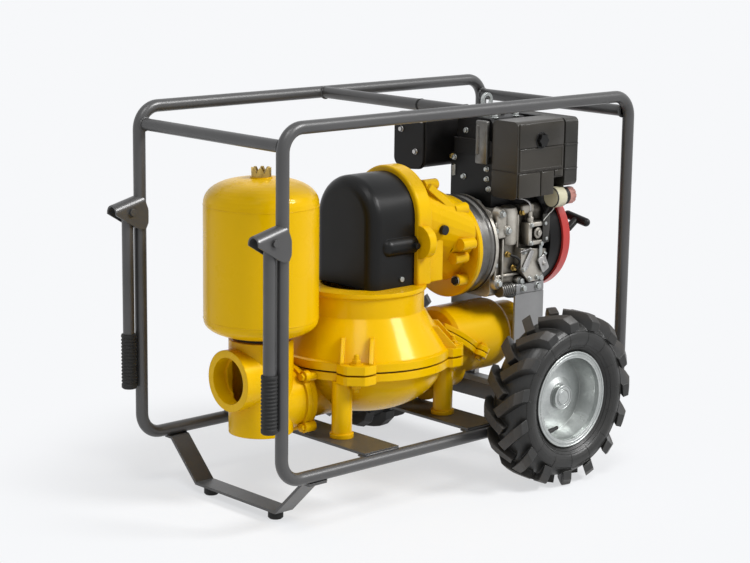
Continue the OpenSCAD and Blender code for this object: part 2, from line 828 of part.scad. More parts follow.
// Discharge valve box: upright chamber, hose port and joint flange
module discharge_box() {
    out_r = chamber_r + 9;
    seat_x = x_disch_face - seat_t;
    color("gold") trolley() difference() {
        union() {
            translate([x_discharge, 0, box_low]) cylinder(r = out_r, h = box_top - box_low);
            translate([x_discharge, 0, z_neck]) xbar(out_r, x_disch_face - x_discharge);
            translate([x_disch_face - neck_t, 0, z_neck]) neck_flange(0);
            translate([x_discharge - discharge_reach, 0, z_port]) xbar(port_out_r, discharge_reach);
        }
        translate([x_discharge, 0, box_low + cast_wall])
            cylinder(r = chamber_r, h = box_top - box_low - 2 * cast_wall);
        translate([x_discharge, 0, box_top - 2 * cast_wall]) cylinder(r = passage_r - 4, h = 3 * cast_wall);
        translate([x_discharge, 0, z_neck]) xbar(chamber_r, seat_x - x_discharge);
        translate([x_discharge, 0, z_neck]) xbar(passage_r, neck_reach);
        translate([x_discharge - discharge_reach - eps, 0, z_port]) xbar(port_r, socket_l + eps);
        translate([x_discharge - discharge_reach, 0, z_port]) xbar(port_r - port_step, discharge_reach);
        translate([seat_x - flap_t / 2, 0, z_neck + flap_arm])
            ybar(flap_pin_r + fit, 2 * (pin_half(chamber_r) + 1));
        translate([x_disch_face - neck_t - eps, 0, z_neck])
            at_neck_bolts() xbar(bolt_r + gap, neck_t + 2 * eps);
    }
}

// Half length of a flap pin that ends inside the wall of a round chamber
function pin_half(r) = sqrt(r * r - flap_arm * flap_arm) + 7;

// Flap valve hinged at its top, with its pin, closed on its seat
module flap(seat_x, z, r) {
    disc_t = flap_t - 2 * gap;
    arm_w = 20;
    color("#333333") trolley() translate([seat_x - flap_t / 2, 0, z]) {
        translate([-disc_t / 2, 0, 0]) xbar(flap_r, disc_t);
        translate([-disc_t / 2, -arm_w / 2, 0]) cube([disc_t, arm_w, flap_arm]);
        translate([0, 0, flap_arm]) ybar(flap_pin_r, 2 * pin_half(r));
    }
}

module discharge_flap() {
    flap(x_disch_face - seat_t, z_neck, chamber_r);
}

// Suction valve box: level drum, lower neck, hose port and joint flange
drum_x = x_suct_face + neck_t + 12;
drum_dome = 22;
port_l = 60;
seal_plate = 12;
seal_slit = 1;
seal_bolt = [55, 95];
module seal_place() {
    tilt = 33;
    translate([drum_x + 17, 0, z_suction + 14]) rotate([0, tilt, 0]) children();
}

// Slanted joint plates across the suction chamber
module seal_plates() {
    seal_r = 100;
    ear_pad = 17;
    for (z = [seal_slit, -seal_slit - seal_plate])
        translate([0, 0, z]) linear_extrude(seal_plate) {
            circle(r = seal_r);
            for (side = [-1, 1])
                translate([seal_bolt[0], side * seal_bolt[1]]) circle(r = ear_pad);
        }
}

module suction_box() {
    out_r = drum_r + 9;
    neck_l = 52;
    end_x = drum_x + drum_l;
    edge = 8;
    drum_out = concat([[0, 0], [out_r - edge, 0], [out_r, edge]],
        arc([out_r - drum_dome, drum_l - drum_dome], drum_dome, drum_dome, 0, 90, 8), [[0, drum_l]]);
    color("gold") trolley() difference() {
        union() {
            translate([drum_x, 0, z_suction]) rotate([0, 90, 0]) rotate_extrude() polygon(drum_out);
            translate([x_suct_face, 0, z_neck]) xbar(passage_r + cast_wall, drum_x + neck_l - x_suct_face);
            translate([x_suct_face, 0, z_neck]) neck_flange(0);
            translate([end_x - drum_dome, 0, z_suction]) xbar(port_out_r, drum_dome + port_l);
            seal_place() seal_plates();
        }
        translate([pump_x, 0, bell_bottom + flange_t / 2]) cylinder(r = flange_r + 6, h = bell_h);
        seal_place()
            for (side = [-1, 1])
                translate([seal_bolt[0], side * seal_bolt[1], -2 * seal_plate])
                    cylinder(r = bolt_r + gap, h = 4 * seal_plate);
        translate([drum_x + cast_wall, 0, z_suction]) xbar(drum_r, drum_l - cast_wall - drum_dome - seat_t);
        translate([x_suct_face - eps, 0, z_neck]) xbar(passage_r, drum_x + neck_l - cast_wall - x_suct_face);
        translate([drum_x + cast_wall, 0, z_suction]) xbar(port_r - port_step, drum_l + port_l);
        translate([end_x + port_l - socket_l, 0, z_suction]) xbar(port_r, socket_l + eps);
        translate([end_x - drum_dome - seat_t - flap_t / 2, 0, z_suction + flap_arm])
            ybar(flap_pin_r + fit, 2 * (pin_half(drum_r) + 1));
        translate([x_suct_face - eps, 0, z_neck]) at_neck_bolts() xbar(bolt_r + gap, neck_t + 2 * eps);
    }
}

module suction_flap() {
    flap(drum_x + drum_l - drum_dome - seat_t, z_suction, drum_r);
}

// Bolts of the two valve box joints, heads on the boxes
module valve_box_bolts() {
    head_h = 8;
    head_af = 16;
    shank = neck_t + bolt_in;
    color("gold") trolley()
        for (side = [-1, 1])
            translate([pump_x + side * (neck_reach + neck_t), 0, z_neck]) mirror([side < 0 ? 1 : 0, 0, 0])
                at_neck_bolts() {
                    translate([-shank, 0, 0]) xbar(bolt_r, shank);
                    rotate([0, 90, 0]) hex(head_af, head_h);
                }
    grip = seal_slit + seal_plate;
    color("gold") trolley() seal_place()
        for (side = [-1, 1])
            translate([seal_bolt[0], side * seal_bolt[1], 0]) {
                translate([0, 0, -grip - head_h]) cylinder(r = bolt_r, h = 2 * (grip + head_h));
                for (end = [0, 1])
                    mirror([0, 0, end]) translate([0, 0, grip]) hex(head_af, head_h);
            }
}

// Air vessel with domed ends and a foot ring on the valve box
foot_ring_gap = 4;
vessel_boss_h = 2;
vessel_z = box_top + foot_ring_gap + base_dome_h;
function dome(r, h, from, to) =
    [for (i = [0:12]) let (t = from + (to - from) * i / 12)
        [r * pow(cos(t), 0.8), h * (t < 0 ? -1 : 1) * pow(abs(sin(t)), 0.8)]];
function vessel_outline(r, top_h, low_h) =
    concat(dome(r, low_h, -90, 0), [for (q = dome(r, top_h, 0, 90)) [q[0], q[1] + vessel_h]]);

module air_vessel() {
    foot_ring_r = passage_r + 14;
    boss_r = collar_r + 3;
    foot_ring_h = 16;
    color("gold") trolley() translate([x_discharge, 0, vessel_z]) difference() {
        union() {
            rotate_extrude() polygon(vessel_outline(vessel_r, dome_h, base_dome_h));
            translate([0, 0, -base_dome_h - foot_ring_gap]) cylinder(r = foot_ring_r, h = foot_ring_h);
            translate([0, 0, vessel_h]) cylinder(r = boss_r, h = dome_h + vessel_boss_h);
        }
        rotate_extrude()
            polygon(vessel_outline(vessel_r - vessel_wall, dome_h - vessel_wall, base_dome_h - vessel_wall));
        translate([0, 0, -base_dome_h - foot_ring_gap - eps])
            cylinder(r = passage_r - 4, h = foot_ring_h + eps);
    }
}

// Castellated brass collar of the vessel's charging valve
module vessel_collar() {
    teeth = 8;
    notch_w = 12;
    notch_h = collar_h * 0.6;
    bore_r = collar_r - 6;
    seat_z = vessel_z + vessel_h + dome_h + vessel_boss_h;
    color("goldenrod") trolley() translate([x_discharge, 0, seat_z]) difference() {
        cylinder(r = collar_r, h = collar_h);
        translate([0, 0, collar_h - notch_h]) cylinder(r = bore_r, h = collar_h);
        for (i = [0:teeth - 1])
            rotate([0, 0, 360 / teeth * (i + 0.5)]) translate([0, 0, collar_h - notch_h])
                rotate([90, 0, 90]) linear_extrude(2 * collar_r)
                    polygon([[0, 0], [notch_w / 2, notch_h + eps], [-notch_w / 2, notch_h + eps]]);
    }
}

// Arched solid along +X: half round top on a straight drop, round front edge
function arch_half(r, l, f) =
    concat([[l, r]], [for (i = [0:8]) [f - f * sin(90 * i / 8), r - f + f * cos(90 * i / 8)]]);
module arch_solid(r, l, drop, f) {
    half = arch_half(r, l, f);
    n = len(half) - 1;
    rotate([0, 90, 0]) rotate([0, 0, 90]) rotate_extrude(angle = 180)
        polygon(concat([[0, l]], [for (q = half) [q[1], q[0]]], [[0, 0]]));
    translate([0, 0, -drop]) linear_extrude(drop)
        polygon(concat(half, [for (i = [n:-1:0]) [half[i][0], -half[i][1]]]));
}

// Places of the crank cover
cover_up = 6;
z_cover = z_crank + cover_up;
cover_l = cover_front + cover_back;
cover_drop = z_cover - z_bell_top;
bump_z = -57;
bump_r = 22;
screw_z = 18 - cover_drop;
screw_x = cover_l - 40;
screw_r = 3;
bump_y = 8 - cover_r;
grease_r = 7;
grease_x = x_gear - 10;
grease_y = bump_y - bump_r + 2;

// Arched sheet cover over the crank
module crank_cover() {
    bump_front = 52;
    color("#1c1c1c") trolley() translate([pump_x - cover_front, 0, z_cover]) difference() {
        union() {
            arch_solid(cover_r, cover_l, cover_drop, cover_fillet);
            translate([bump_front, bump_y, bump_z]) xbar(bump_r, cover_l - bump_front);
            translate([bump_front, bump_y, bump_z]) sphere(r = bump_r);
        }
        translate([cover_wall, 0, 0])
            arch_solid(cover_r - cover_wall, cover_l, cover_drop + eps, cover_fillet - cover_wall);
        for (side = [-1, 1])
            translate([screw_x, side * cover_r, screw_z]) ybar(screw_r, 4 * cover_wall);
        translate([grease_x - pump_x + cover_front, grease_y, bump_z])
            rotate([90, 0, 0]) cylinder(r = grease_r, h = bump_r);
    }
}

// Screws that hold the cover's sides to the bell's posts
module cover_screws() {
    head_r = 6;
    head_h = 4;
    shank = cover_wall + post_t;
    color("silver") trolley() translate([pump_x - cover_front, 0, z_cover])
        for (side = [-1, 1])
            translate([screw_x, side * cover_r, screw_z]) {
                translate([0, -side * shank / 2, 0]) ybar(screw_r, shank);
                translate([0, side * head_h / 2, 0]) ybar(head_r, head_h);
            }
}

// Involute gear outline
function inv_angle(x) = tan(x) * 180 / PI - x;
function tooth_half(z, r) =
    let (pitch = gear_m * z / 2, base = pitch * cos(pressure_angle), at = max(r, base))
    (90 / z) - backlash / (2 * pitch) * 180 / PI + inv_angle(pressure_angle) - inv_angle(acos(base / at));
function tooth_radii(z) =
    let (root = gear_m * (z / 2 - 1.25), tip = gear_m * (z / 2 + 1))
    let (base = gear_m * z / 2 * cos(pressure_angle))
    concat(root < base ? [root] : [], [for (i = [0:4]) max(root, base) + (tip - max(root, base)) * i / 4]);
function polar(r, a) = [r * cos(a), r * sin(a)];
module gear_2d(z) {
    radii = tooth_radii(z);
    n = len(radii) - 1;
    polygon([for (i = [0:z - 1], side = [-1, 1], k = [0:n])
        let (r = radii[side < 0 ? k : n - k]) polar(r, 360 / z * i + side * tooth_half(z, r))]);
}

// Gear along +X whose tooth, or gap, points at the given angle in the YZ plane
module gear_x(z, w, at, space) {
    rotate([90, 0, 90]) rotate([0, 0, at + (space ? 180 / z : 0)]) linear_extrude(w) gear_2d(z);
}

// Gearbox places
front_wall = 25;
mid_wall_x = x_gear + 105;
mid_wall = 20;
crank_bearing_r = crank_r + 13;
counter_r = gear_m * (pinion_teeth / 2 - 1.25) - 0.5;
counter_bearing_r = counter_r + 14;
pinion_w = gear_w + 4;
plug_x = x_gear + 83;
plug_z = z_shaft + 65;
plug_y = -cover_r;
plug_r = 11;
drain_x = x_flange - 45;
drain_z = z_shaft - 68;
drain_y = -78;

// Gearbox casting between the crank cover and the engine
module gearbox_housing() {
    collar = 13;
    collar_l = 40;
    collar_edge = 6;
    rear_t = 14;
    rim_edge = 3;
    skin = 4;
    body_x = x_flange - rear_t - 12;
    counter_body_r = gear_tip_r + 14;
    shaft_body_r = 80;
    lug_r = 14;
    lug_l = 42;
    lug_ring_r = counter_body_r + 2;
    strap_r = 13;
    strap_l = 42;
    strap = [x_gear + 44, -76, z_cover + 71];
    arm = [116, 44, 16];
    arm_tilt = 36;
    boss_r = 38;
    boss_l = 22;
    boss_y = -112;
    drain_boss_r = 14;
    tip_gap = 1.5;
    bell_mouth = rear_t - 4;
    shaft_room_r = 60;
    saddle = [90, 2 * cover_r, 95];
    saddle_wall = 12;
    pocket_h = 65;
    front_l = mid_wall_x - x_gear - front_wall;
    rear_x = mid_wall_x + mid_wall;
    flange = [[0, 0], [gearbox_r - rim_edge, 0], [gearbox_r, rim_edge], [gearbox_r, rear_t], [0, rear_t]];
    color("gold") trolley() difference() {
        union() {
            translate([x_gear, 0, z_cover]) arch_solid(cover_r + collar, collar_l, cover_drop, collar_edge);
            translate([x_gear + eps, -saddle[1] / 2, z_bell_top]) cube(saddle);
            hull() {
                translate([x_gear + collar_l - collar_edge, 0, z_cover])
                    xbar(cover_r + skin, skin, $fn = 32);
                translate([body_x, counter_y, counter_z]) xbar(counter_body_r, skin, $fn = 32);
                translate([body_x, 0, z_shaft]) xbar(shaft_body_r, skin, $fn = 32);
            }
            translate([body_x, 0, z_shaft]) xbar(shaft_body_r, x_flange - rear_t / 2 - body_x);
            translate([x_flange - rear_t, 0, z_shaft]) rotate([0, 90, 0]) rotate_extrude() polygon(flange);
            for (a = [35, 106, 141, 195, 330])
                translate([body_x - lug_l - skin, counter_y, counter_z]) rotate([a, 0, 0])
                    translate([0, 0, lug_ring_r]) xbar(lug_r, lug_l);
            translate(strap) xbar(strap_r, strap_l);
            translate(strap - [0, arm[1] / 2, arm[2] / 2]) rotate([0, arm_tilt, 0]) cube(arm);
            translate([x_gear + 1, boss_y, counter_z]) xbar(boss_r, boss_l);
            translate([drain_x, drain_y, drain_z]) xbar(drain_boss_r, x_flange - rear_t - drain_x);
        }
        for (x = [x_gear - eps, mid_wall_x - eps])
            translate([x, 0, z_crank]) xbar(crank_bearing_r, front_wall + 2 * eps);
        translate([x_gear + skin, counter_y, counter_z]) xbar(counter_bearing_r, rear_x - x_gear);
        translate([x_gear + front_wall, 0, z_crank]) xbar(gear_tip_r + tip_gap, front_l);
        translate([rear_x, counter_y, counter_z])
            xbar(gear_tip_r + tip_gap, stage_one_x + gear_w + 2 - rear_x);
        translate([rear_x, 0, z_shaft]) xbar(crank_bearing_r, gearbox_l);
        translate([rear_x + mid_wall, 0, z_shaft]) xbar(shaft_room_r, gearbox_l);
        translate([x_flange - bell_mouth, 0, z_shaft]) xbar(gearbox_r - 22, bell_mouth + eps);
        translate([x_gear + front_wall, saddle_wall - saddle[1] / 2, z_bell_top - eps])
            cube([saddle[0] - front_wall - saddle_wall, saddle[1] - 2 * saddle_wall, pocket_h]);
        translate([plug_x, plug_y, plug_z]) rotate([90, 0, 0]) cylinder(r = plug_r, h = 4 * plug_r);
    }
}

// Breather plug, drain plug and the cover's grease plug
module casing_plugs() {
    breather_h = 16;
    drain_af = 16;
    drain_h = 7;
    grease_h = 11;
    color("#1c1c1c") trolley() {
        translate([plug_x, plug_y, plug_z]) rotate([90, 0, 0]) cylinder(r = plug_r, h = breather_h);
        translate([drain_x, drain_y, drain_z]) rotate([0, -90, 0]) hex(drain_af, drain_h);
        translate([grease_x, grease_y, z_cover + bump_z])
            rotate([90, 0, 0]) cylinder(r = grease_r, h = grease_h);
    }
}

// Pinion on the engine shaft, with its sleeve
sleeve_l = 44;
input_spigot_r = 12;
module input_pinion() {
    sleeve_r = 22;
    spigot_l = sleeve_l - 8;
    color("silver") trolley() translate([stage_one_x - 2, 0, z_shaft]) difference() {
        union() {
            gear_x(pinion_teeth, pinion_w + 4, angle_ab, false);
            translate([pinion_w + 2, 0, 0]) xbar(sleeve_r, sleeve_l);
        }
        translate([pinion_w + 2 + sleeve_l - spigot_l, 0, 0]) xbar(input_spigot_r, spigot_l + eps);
    }
}

// Intermediate shaft with the first gear and the second pinion
module countershaft() {
    shaft_x = x_gear + 9;
    color("silver") trolley() translate([0, counter_y, counter_z]) {
        translate([shaft_x, 0, 0]) xbar(counter_r, stage_one_x + gear_w + 1 - shaft_x);
        translate([stage_one_x, 0, 0]) gear_x(gear_teeth, gear_w, angle_ab + 180, true);
        translate([stage_two_x - 2, 0, 0]) gear_x(pinion_teeth, pinion_w, angle_bc, false);
    }
}

// Gear on the crank shaft
module output_gear() {
    color("silver") trolley() translate([stage_two_x, 0, z_crank]) difference() {
        gear_x(gear_teeth, gear_w, angle_bc + 180, true);
        translate([-eps, 0, 0]) xbar(crank_r, gear_w + 2 * eps);
    }
}

// Engine shaft places
main_r = 18;
main_bearing_r = 34;
main_bearing_w = 14;

// Bearing rings of the crank, the countershaft and the engine shaft
module shaft_bearings() {
    w = 16;
    color("lightsteelblue") trolley() {
        for (x = [x_gear + 4, mid_wall_x + 2])
            translate([x, 0, z_crank]) xring(crank_bearing_r, crank_r + fit, w);
        for (x = [x_gear + 8, mid_wall_x + 2])
            translate([x, counter_y, counter_z]) xring(counter_bearing_r, counter_r + fit, w);
        for (x = [x_engine, x_fan - main_bearing_w])
            translate([x, 0, z_shaft]) xring(main_bearing_r, main_r + fit, main_bearing_w);
    }
}

// Ring between the gearbox flange and the engine
module adapter_ring() {
    lip = 8;
    lip_l = 12;
    bore_r = gearbox_r - 22;
    outline = [[bore_r, 0], [gearbox_r, 0], [gearbox_r, lip_l], [gearbox_r - lip, lip_l + lip / 2],
        [gearbox_r - lip, adapter_l - lip_l], [gearbox_r - lip / 2, adapter_l - lip_l + lip / 2],
        [gearbox_r - lip / 2, adapter_l], [bore_r, adapter_l]];
    color("darkgray") trolley() translate([x_flange, 0, z_shaft])
        rotate([0, 90, 0]) rotate_extrude() polygon(outline);
}

// Engine places
cyl_x = x_engine + 100;
z_case_low = z_shaft - sump_h;
z_case_top = z_shaft + deck_h;
z_head = z_case_top + cylinder_h;
z_engine_top = z_head + rocker_h;
bore_r = 42;
barrel_r = bore_r + 8;
head_w = 68;
stroke_r = 33;

// Crankcase with its front flange, shaft chamber and cylinder deck
module crankcase() {
    front_r = gearbox_r - 4;
    front_t = 12;
    edge = 18;
    room_r = stroke_r + 39;
    color("silver") trolley() difference() {
        union() {
            translate([x_engine, 0, z_shaft]) xbar(front_r, front_t);
            round_box_x([x_engine + front_t - eps, -crankcase_w, z_case_low],
                [crankcase_l - front_t + eps, 2 * crankcase_w, sump_h + deck_h], edge);
        }
        translate([x_engine - eps, 0, z_shaft]) xbar(main_bearing_r, crankcase_l + 2 * eps);
        translate([x_engine + main_bearing_w, 0, z_shaft]) xbar(room_r, crankcase_l - 2 * main_bearing_w);
        translate([cyl_x, 0, z_shaft]) cylinder(r = bore_r, h = deck_h + eps);
    }
}

// Finned cylinder barrel
module cylinder_barrel() {
    fins = 9;
    fin_out = 12;
    fin_t = 5;
    pitch = cylinder_h / fins;
    comb = [for (i = [0:fins - 1], q = [[0, 0], [fin_out, 0], [fin_out, fin_t], [0, fin_t]])
        [barrel_r + q[0], pitch * (i + 0.25) + q[1]]];
    color("darkgray") trolley() translate([cyl_x, 0, z_case_top]) rotate_extrude()
        polygon(concat([[bore_r, 0], [barrel_r, 0]], comb, [[barrel_r, cylinder_h], [bore_r, cylinder_h]]));
}

// Cylinder head with its rocker cover
module rocker_cover() {
    head_h = 36;
    head_l = 68;
    cover_in = 10;
    edge = 14;
    color("silver") trolley() {
        round_box([cyl_x - head_l, -head_w, z_head], [2 * head_l, 2 * head_w, head_h], edge);
        round_box_x([cyl_x - head_l + cover_in, cover_in - head_w, z_head + head_h - edge],
            [2 * (head_l - cover_in), 2 * (head_w - cover_in), rocker_h - head_h + edge], edge);
    }
}

// Engine shaft with one throw, the pinion's spigot and the flywheel seat
flywheel_seat_l = 34;
module crankshaft() {
    web_r = 45;
    web_t = 16;
    pin_r = 16;
    pin_half = 13;
    input_x = x_flange - 33;
    color("silver") trolley() translate([0, 0, z_shaft]) {
        translate([input_x, 0, 0]) xbar(input_spigot_r, x_engine - input_x);
        translate([x_engine, 0, 0]) xbar(main_r, cyl_x - pin_half - x_engine);
        translate([cyl_x + pin_half, 0, 0]) xbar(main_r, x_fan - cyl_x - pin_half);
        for (x = [cyl_x - pin_half - web_t, cyl_x + pin_half])
            translate([x, 0, 0]) xbar(web_r, web_t);
        translate([cyl_x - pin_half, 0, stroke_r - eps]) xbar(pin_r, 2 * pin_half);
        translate([x_fan, 0, 0]) xbar(input_spigot_r, flywheel_seat_l);
    }
}

// Flywheel with fan blades
module flywheel() {
    blades = 14;
    disc_r = fan_r - 16;
    disc_t = 14;
    hub_r = 30;
    back = 6;
    blade_in_r = 58;
    blade_t = 4;
    color("darkgray") trolley() translate([x_fan + back, 0, z_shaft]) difference() {
        union() {
            xbar(disc_r, disc_t);
            xbar(hub_r, flywheel_seat_l - back);
            for (i = [0:blades - 1])
                rotate([360 / blades * i, 0, 0]) translate([disc_t - eps, -blade_t / 2, blade_in_r])
                    cube([disc_t, blade_t, disc_r - blade_in_r - blade_t]);
        }
        translate([-eps, 0, 0]) xbar(input_spigot_r, flywheel_seat_l);
    }
}

// Fan drum with the air duct and the cowl round the cylinder
duct_l = 16;
module fan_housing() {
    wall = 4;
    eye_r = 60;
    duct_w = head_w;
    duct_low = z_shaft + fan_r - 26;
    duct_edge = 6;
    cowl_front = 67;
    cowl_t = 2.5;
    color("#2a2a2a") trolley() difference() {
        union() {
            translate([cyl_x - cowl_front, -head_w, z_case_top])
                cube([x_fan + wall - cyl_x + cowl_front, 2 * head_w, cylinder_h]);
            translate([x_fan, 0, z_shaft]) xbar(fan_r, fan_l);
            round_box_x([x_fan, -duct_w, duct_low], [duct_l, 2 * duct_w, z_engine_top - duct_low],
                duct_edge);
        }
        translate([x_fan + wall, 0, z_shaft]) xbar(fan_r - wall, fan_l);
        translate([x_fan - eps, 0, z_shaft]) xbar(eye_r, fan_l);
        translate([x_fan + wall, wall - duct_w, duct_low])
            cube([duct_l - 2 * wall, 2 * (duct_w - wall), z_engine_top - duct_low - wall]);
        translate([cyl_x - cowl_front + cowl_t, cowl_t - head_w, z_case_top - eps])
            cube([x_fan - cyl_x + cowl_front - cowl_t - eps, 2 * head_w, cylinder_h + 2 * eps]);
        translate([x_fan - 2 * wall, 3 * wall - duct_w, z_case_top + 6 * wall])
            cube([3 * wall, 2 * (duct_w - 3 * wall), cylinder_h - 8 * wall]);
    }
}

// Starter pull: where the rope leaves the cover
pull_y = -115;
pull_z = z_shaft + 19;
stem_start = 9;
grip_turn = 17;
module pull_place() {
    trolley() translate([x_recoil_end, pull_y, pull_z]) rotate([0, 90 - pull_slope, 0]) children();
}

// Starter cover: red rim, vented face and the reel's post
recoil_post_r = 8;
module recoil_cover() {
    wall = 4;
    vents = 12;
    vent_w = 9;
    vent_in_r = 62;
    vent_l = 40;
    post_l = 20;
    lip_in_r = fan_r - 6;
    outline = [[recoil_r - wall, 0], [recoil_r, 0], [recoil_r, recoil_l - wall], [recoil_r - wall, recoil_l],
        [0, recoil_l], [0, recoil_l - wall - post_l], [recoil_post_r, recoil_l - wall - post_l],
        [recoil_post_r, recoil_l - wall], [recoil_r - wall, recoil_l - wall], [recoil_r - wall, wall],
        [lip_in_r, wall], [lip_in_r, 0]];
    color("firebrick") trolley() translate([x_recoil, 0, z_shaft]) difference() {
        rotate([0, 90, 0]) rotate_extrude() polygon(outline);
        for (i = [0:vents - 1])
            rotate([360 / vents * (i + 0.5), 0, 0]) translate([recoil_l - 2 * wall, -vent_w / 2, vent_in_r])
                cube([3 * wall, vent_w, vent_l]);
        translate([recoil_l, pull_y, pull_z - z_shaft]) rotate([0, 90 - pull_slope, 0])
            cylinder(r = rope_r + gap, h = 6 * wall, center = true);
    }
}

// Rope reel on the cover's post
reel_core_r = 44;
reel_l = 16;
module recoil_reel() {
    side_t = 2.5;
    side_r = reel_core_r + 11;
    outline = [[recoil_post_r + fit, 0], [side_r, 0], [side_r, side_t], [reel_core_r, side_t],
        [reel_core_r, reel_l - side_t], [side_r, reel_l - side_t], [side_r, reel_l],
        [recoil_post_r + fit, reel_l]];
    color("#222222") trolley() translate([x_recoil + 5, 0, z_shaft])
        rotate([0, 90, 0]) rotate_extrude() polygon(outline);
}

// Straight round cord between two points
module cord(a, b, r) {
    d = b - a;
    translate(a) rotate([0, acos(d[2] / norm(d)), atan2(d[1], d[0])]) cylinder(r = r, h = norm(d));
}

// Starter rope from the reel out to the grip
rope_hole_l = 12;
module recoil_rope() {
    off = [5 + reel_l / 2, -30, 39];
    reel_point = [x_recoil, 0, z_shaft] + off;
    bend_back = 14;
    mouth = [x_recoil_end - bend_back * cos(pull_slope), pull_y, pull_z - bend_back * sin(pull_slope)];
    color("ivory") {
        trolley() {
            cord(reel_point, mouth, rope_r);
            translate(mouth) sphere(r = rope_r + gap);
        }
        pull_place() translate([0, 0, -bend_back])
            cylinder(r = rope_r, h = bend_back + stem_start + rope_hole_l - 2);
    }
}

// Starter handle: stem and cross bar
module recoil_grip() {
    stem_r = 9;
    stem_l = 37;
    bar_r = 10.5;
    bar_half = 27;
    color("black") pull_place() rotate([0, 0, grip_turn]) difference() {
        union() {
            translate([0, 0, stem_start]) cylinder(r = stem_r, h = stem_l);
            translate([0, 0, stem_start + stem_l]) ybar(bar_r, 2 * bar_half);
            for (side = [-1, 1])
                translate([0, side * bar_half, stem_start + stem_l]) sphere(r = bar_r);
        }
        translate([0, 0, stem_start - eps]) cylinder(r = rope_r, h = rope_hole_l + eps - 2);
    }
}

// Silencer on the far side with its pipe from the head
module muffler() {
    pipe_l = 27;
    low = [x_engine - 37, head_w + pipe_l, z_head - 40];
    size = [180, 100, z_engine_top - z_head + 40];
    pipe_r = 18;
    edge = 22;
    wall = 3;
    pipe_wall = 4;
    tail_r = 14;
    tail_l = 40;
    pipe_z = z_head + 18;
    tail = [low[0] + size[0], low[1] + size[1] / 2, low[2] + 32];
    color("#1a1a1a") trolley() difference() {
        union() {
            round_box_x(low, size, edge);
            translate([cyl_x, head_w, pipe_z]) rotate([-90, 0, 0]) cylinder(r = pipe_r, h = pipe_l + wall);
            translate(tail - [wall, 0, 0]) xbar(tail_r, tail_l);
        }
        round_box_x(low + [wall, wall, wall], size - 2 * [wall, wall, wall], edge - wall);
        translate([cyl_x, head_w - eps, pipe_z]) rotate([-90, 0, 0])
            cylinder(r = pipe_r - pipe_wall, h = pipe_l + 2 * wall);
        translate(tail - [2 * wall, 0, 0]) xbar(tail_r - wall, tail_l + 2 * wall);
    }
}

// Air filter box on the near side, open below
filter_low = [x_engine + 33, -150, z_case_top + 27];
filter_size = [160, 150 - head_w, z_engine_top - z_case_top - 26];
filter_step = [34, 44];
knob_x = x_engine + 112;
knob_z = z_head + 44;
knob_pin_r = 4;
knob_pin_l = 18;
module air_filter() {
    edge = 14;
    wall = 4;
    boss_r = 10;
    intake_r = 18;
    boss_l = knob_pin_l + 4;
    skin = [wall, wall, -edge];
    step_x = filter_low[0] + filter_size[0] - filter_step[0];
    color("#4c4640") trolley() difference() {
        union() {
            difference() {
                round_box_x(filter_low, filter_size, edge);
                round_box_x(filter_low + skin, filter_size - [2 * wall, 2 * wall, wall - edge], edge - wall);
            }
            translate([step_x - wall, filter_low[1] + eps, filter_low[2] + edge])
                cube([wall, filter_size[1] - 2 * eps, filter_step[1] - edge + eps]);
            translate([knob_x, filter_low[1] + eps + boss_l / 2, knob_z]) ybar(boss_r, boss_l);
        }
        translate([step_x, filter_low[1] - eps, filter_low[2] - eps])
            cube([filter_step[0] + eps, filter_size[1] + 2 * eps, filter_step[1] + eps]);
        translate([knob_x, filter_low[1], knob_z]) ybar(knob_pin_r + fit, 2 * (knob_pin_l + gap));
        translate([cyl_x, -head_w, z_head + intake_r]) ybar(intake_r - wall, 4 * wall);
    }
}

// Knob of the filter's lid
module filter_knob() {
    knob_r = 13;
    knob_h = 12;
    lobes = 6;
    lobe_r = 4;
    color("black") trolley() translate([knob_x, filter_low[1] - gap, knob_z]) rotate([90, 0, 0]) {
        cylinder(r = knob_r, h = knob_h);
        for (i = [0:lobes - 1])
            rotate([0, 0, 360 / lobes * i]) translate([knob_r - 1, 0, 0]) cylinder(r = lobe_r, h = knob_h);
        translate([0, 0, -knob_pin_l - gap]) cylinder(r = knob_pin_r, h = knob_pin_l + 2 * gap);
    }
}

// Fuel tank in front of the duct, with a low filler neck
tank_low = [x_fan + duct_l, -150, z_shaft + recoil_r + 4];
tank_size = [44, 260, z_engine_top - tank_low[2]];
filler = [x_recoil, -130, z_shaft + 110];
filler_r = 25;
filler_ring_r = 21;
filler_ring_l = 14;
filler_l = 34;
spigot_r = 12;
spigot_l = 10;
module filler_place() {
    trolley() translate(filler) children();
}

module fuel_tank() {
    edge = 14;
    wall = 4;
    skin = [wall, wall, wall];
    pipe_r = 7;
    lobe = [20, 38, 54];
    lobe_edge = 6;
    lobe_low = [tank_low[0], filler[1], tank_low[2] - 40];
    color("#575049") difference() {
        union() {
            trolley() round_box_x(tank_low, tank_size, edge);
            trolley() round_box_x(lobe_low, lobe, lobe_edge);
            filler_place() translate([-filler_ring_l, 0, 0]) xbar(filler_ring_r, filler_ring_l);
            filler_place() translate([-filler_ring_l - filler_l, 0, 0]) xbar(filler_r, filler_l);
        }
        trolley() round_box_x(tank_low + skin, tank_size - 2 * skin, edge - wall);
        filler_place() translate([-filler_ring_l - spigot_l, 0, 0])
            xbar(spigot_r + fit, filler_ring_l + spigot_l + eps);
        filler_place() translate([-filler_ring_l, pipe_r, 0]) cylinder(r = pipe_r, h = lobe[2]);
    }
}

// Filler cap with a spigot in the neck
module fuel_cap() {
    cap_r = 21;
    cap_h = 20;
    flutes = 10;
    flute_r = 2.5;
    color("rosybrown") filler_place() translate([gap, 0, 0]) difference() {
        union() {
            xbar(cap_r, cap_h);
            translate([-spigot_l - gap, 0, 0]) xbar(spigot_r, spigot_l + 2 * gap);
        }
        for (i = [0:flutes - 1])
            rotate([360 / flutes * i, 0, 0]) translate([cap_h / 3, 0, cap_r + 1]) xbar(flute_r, cap_h);
    }
}

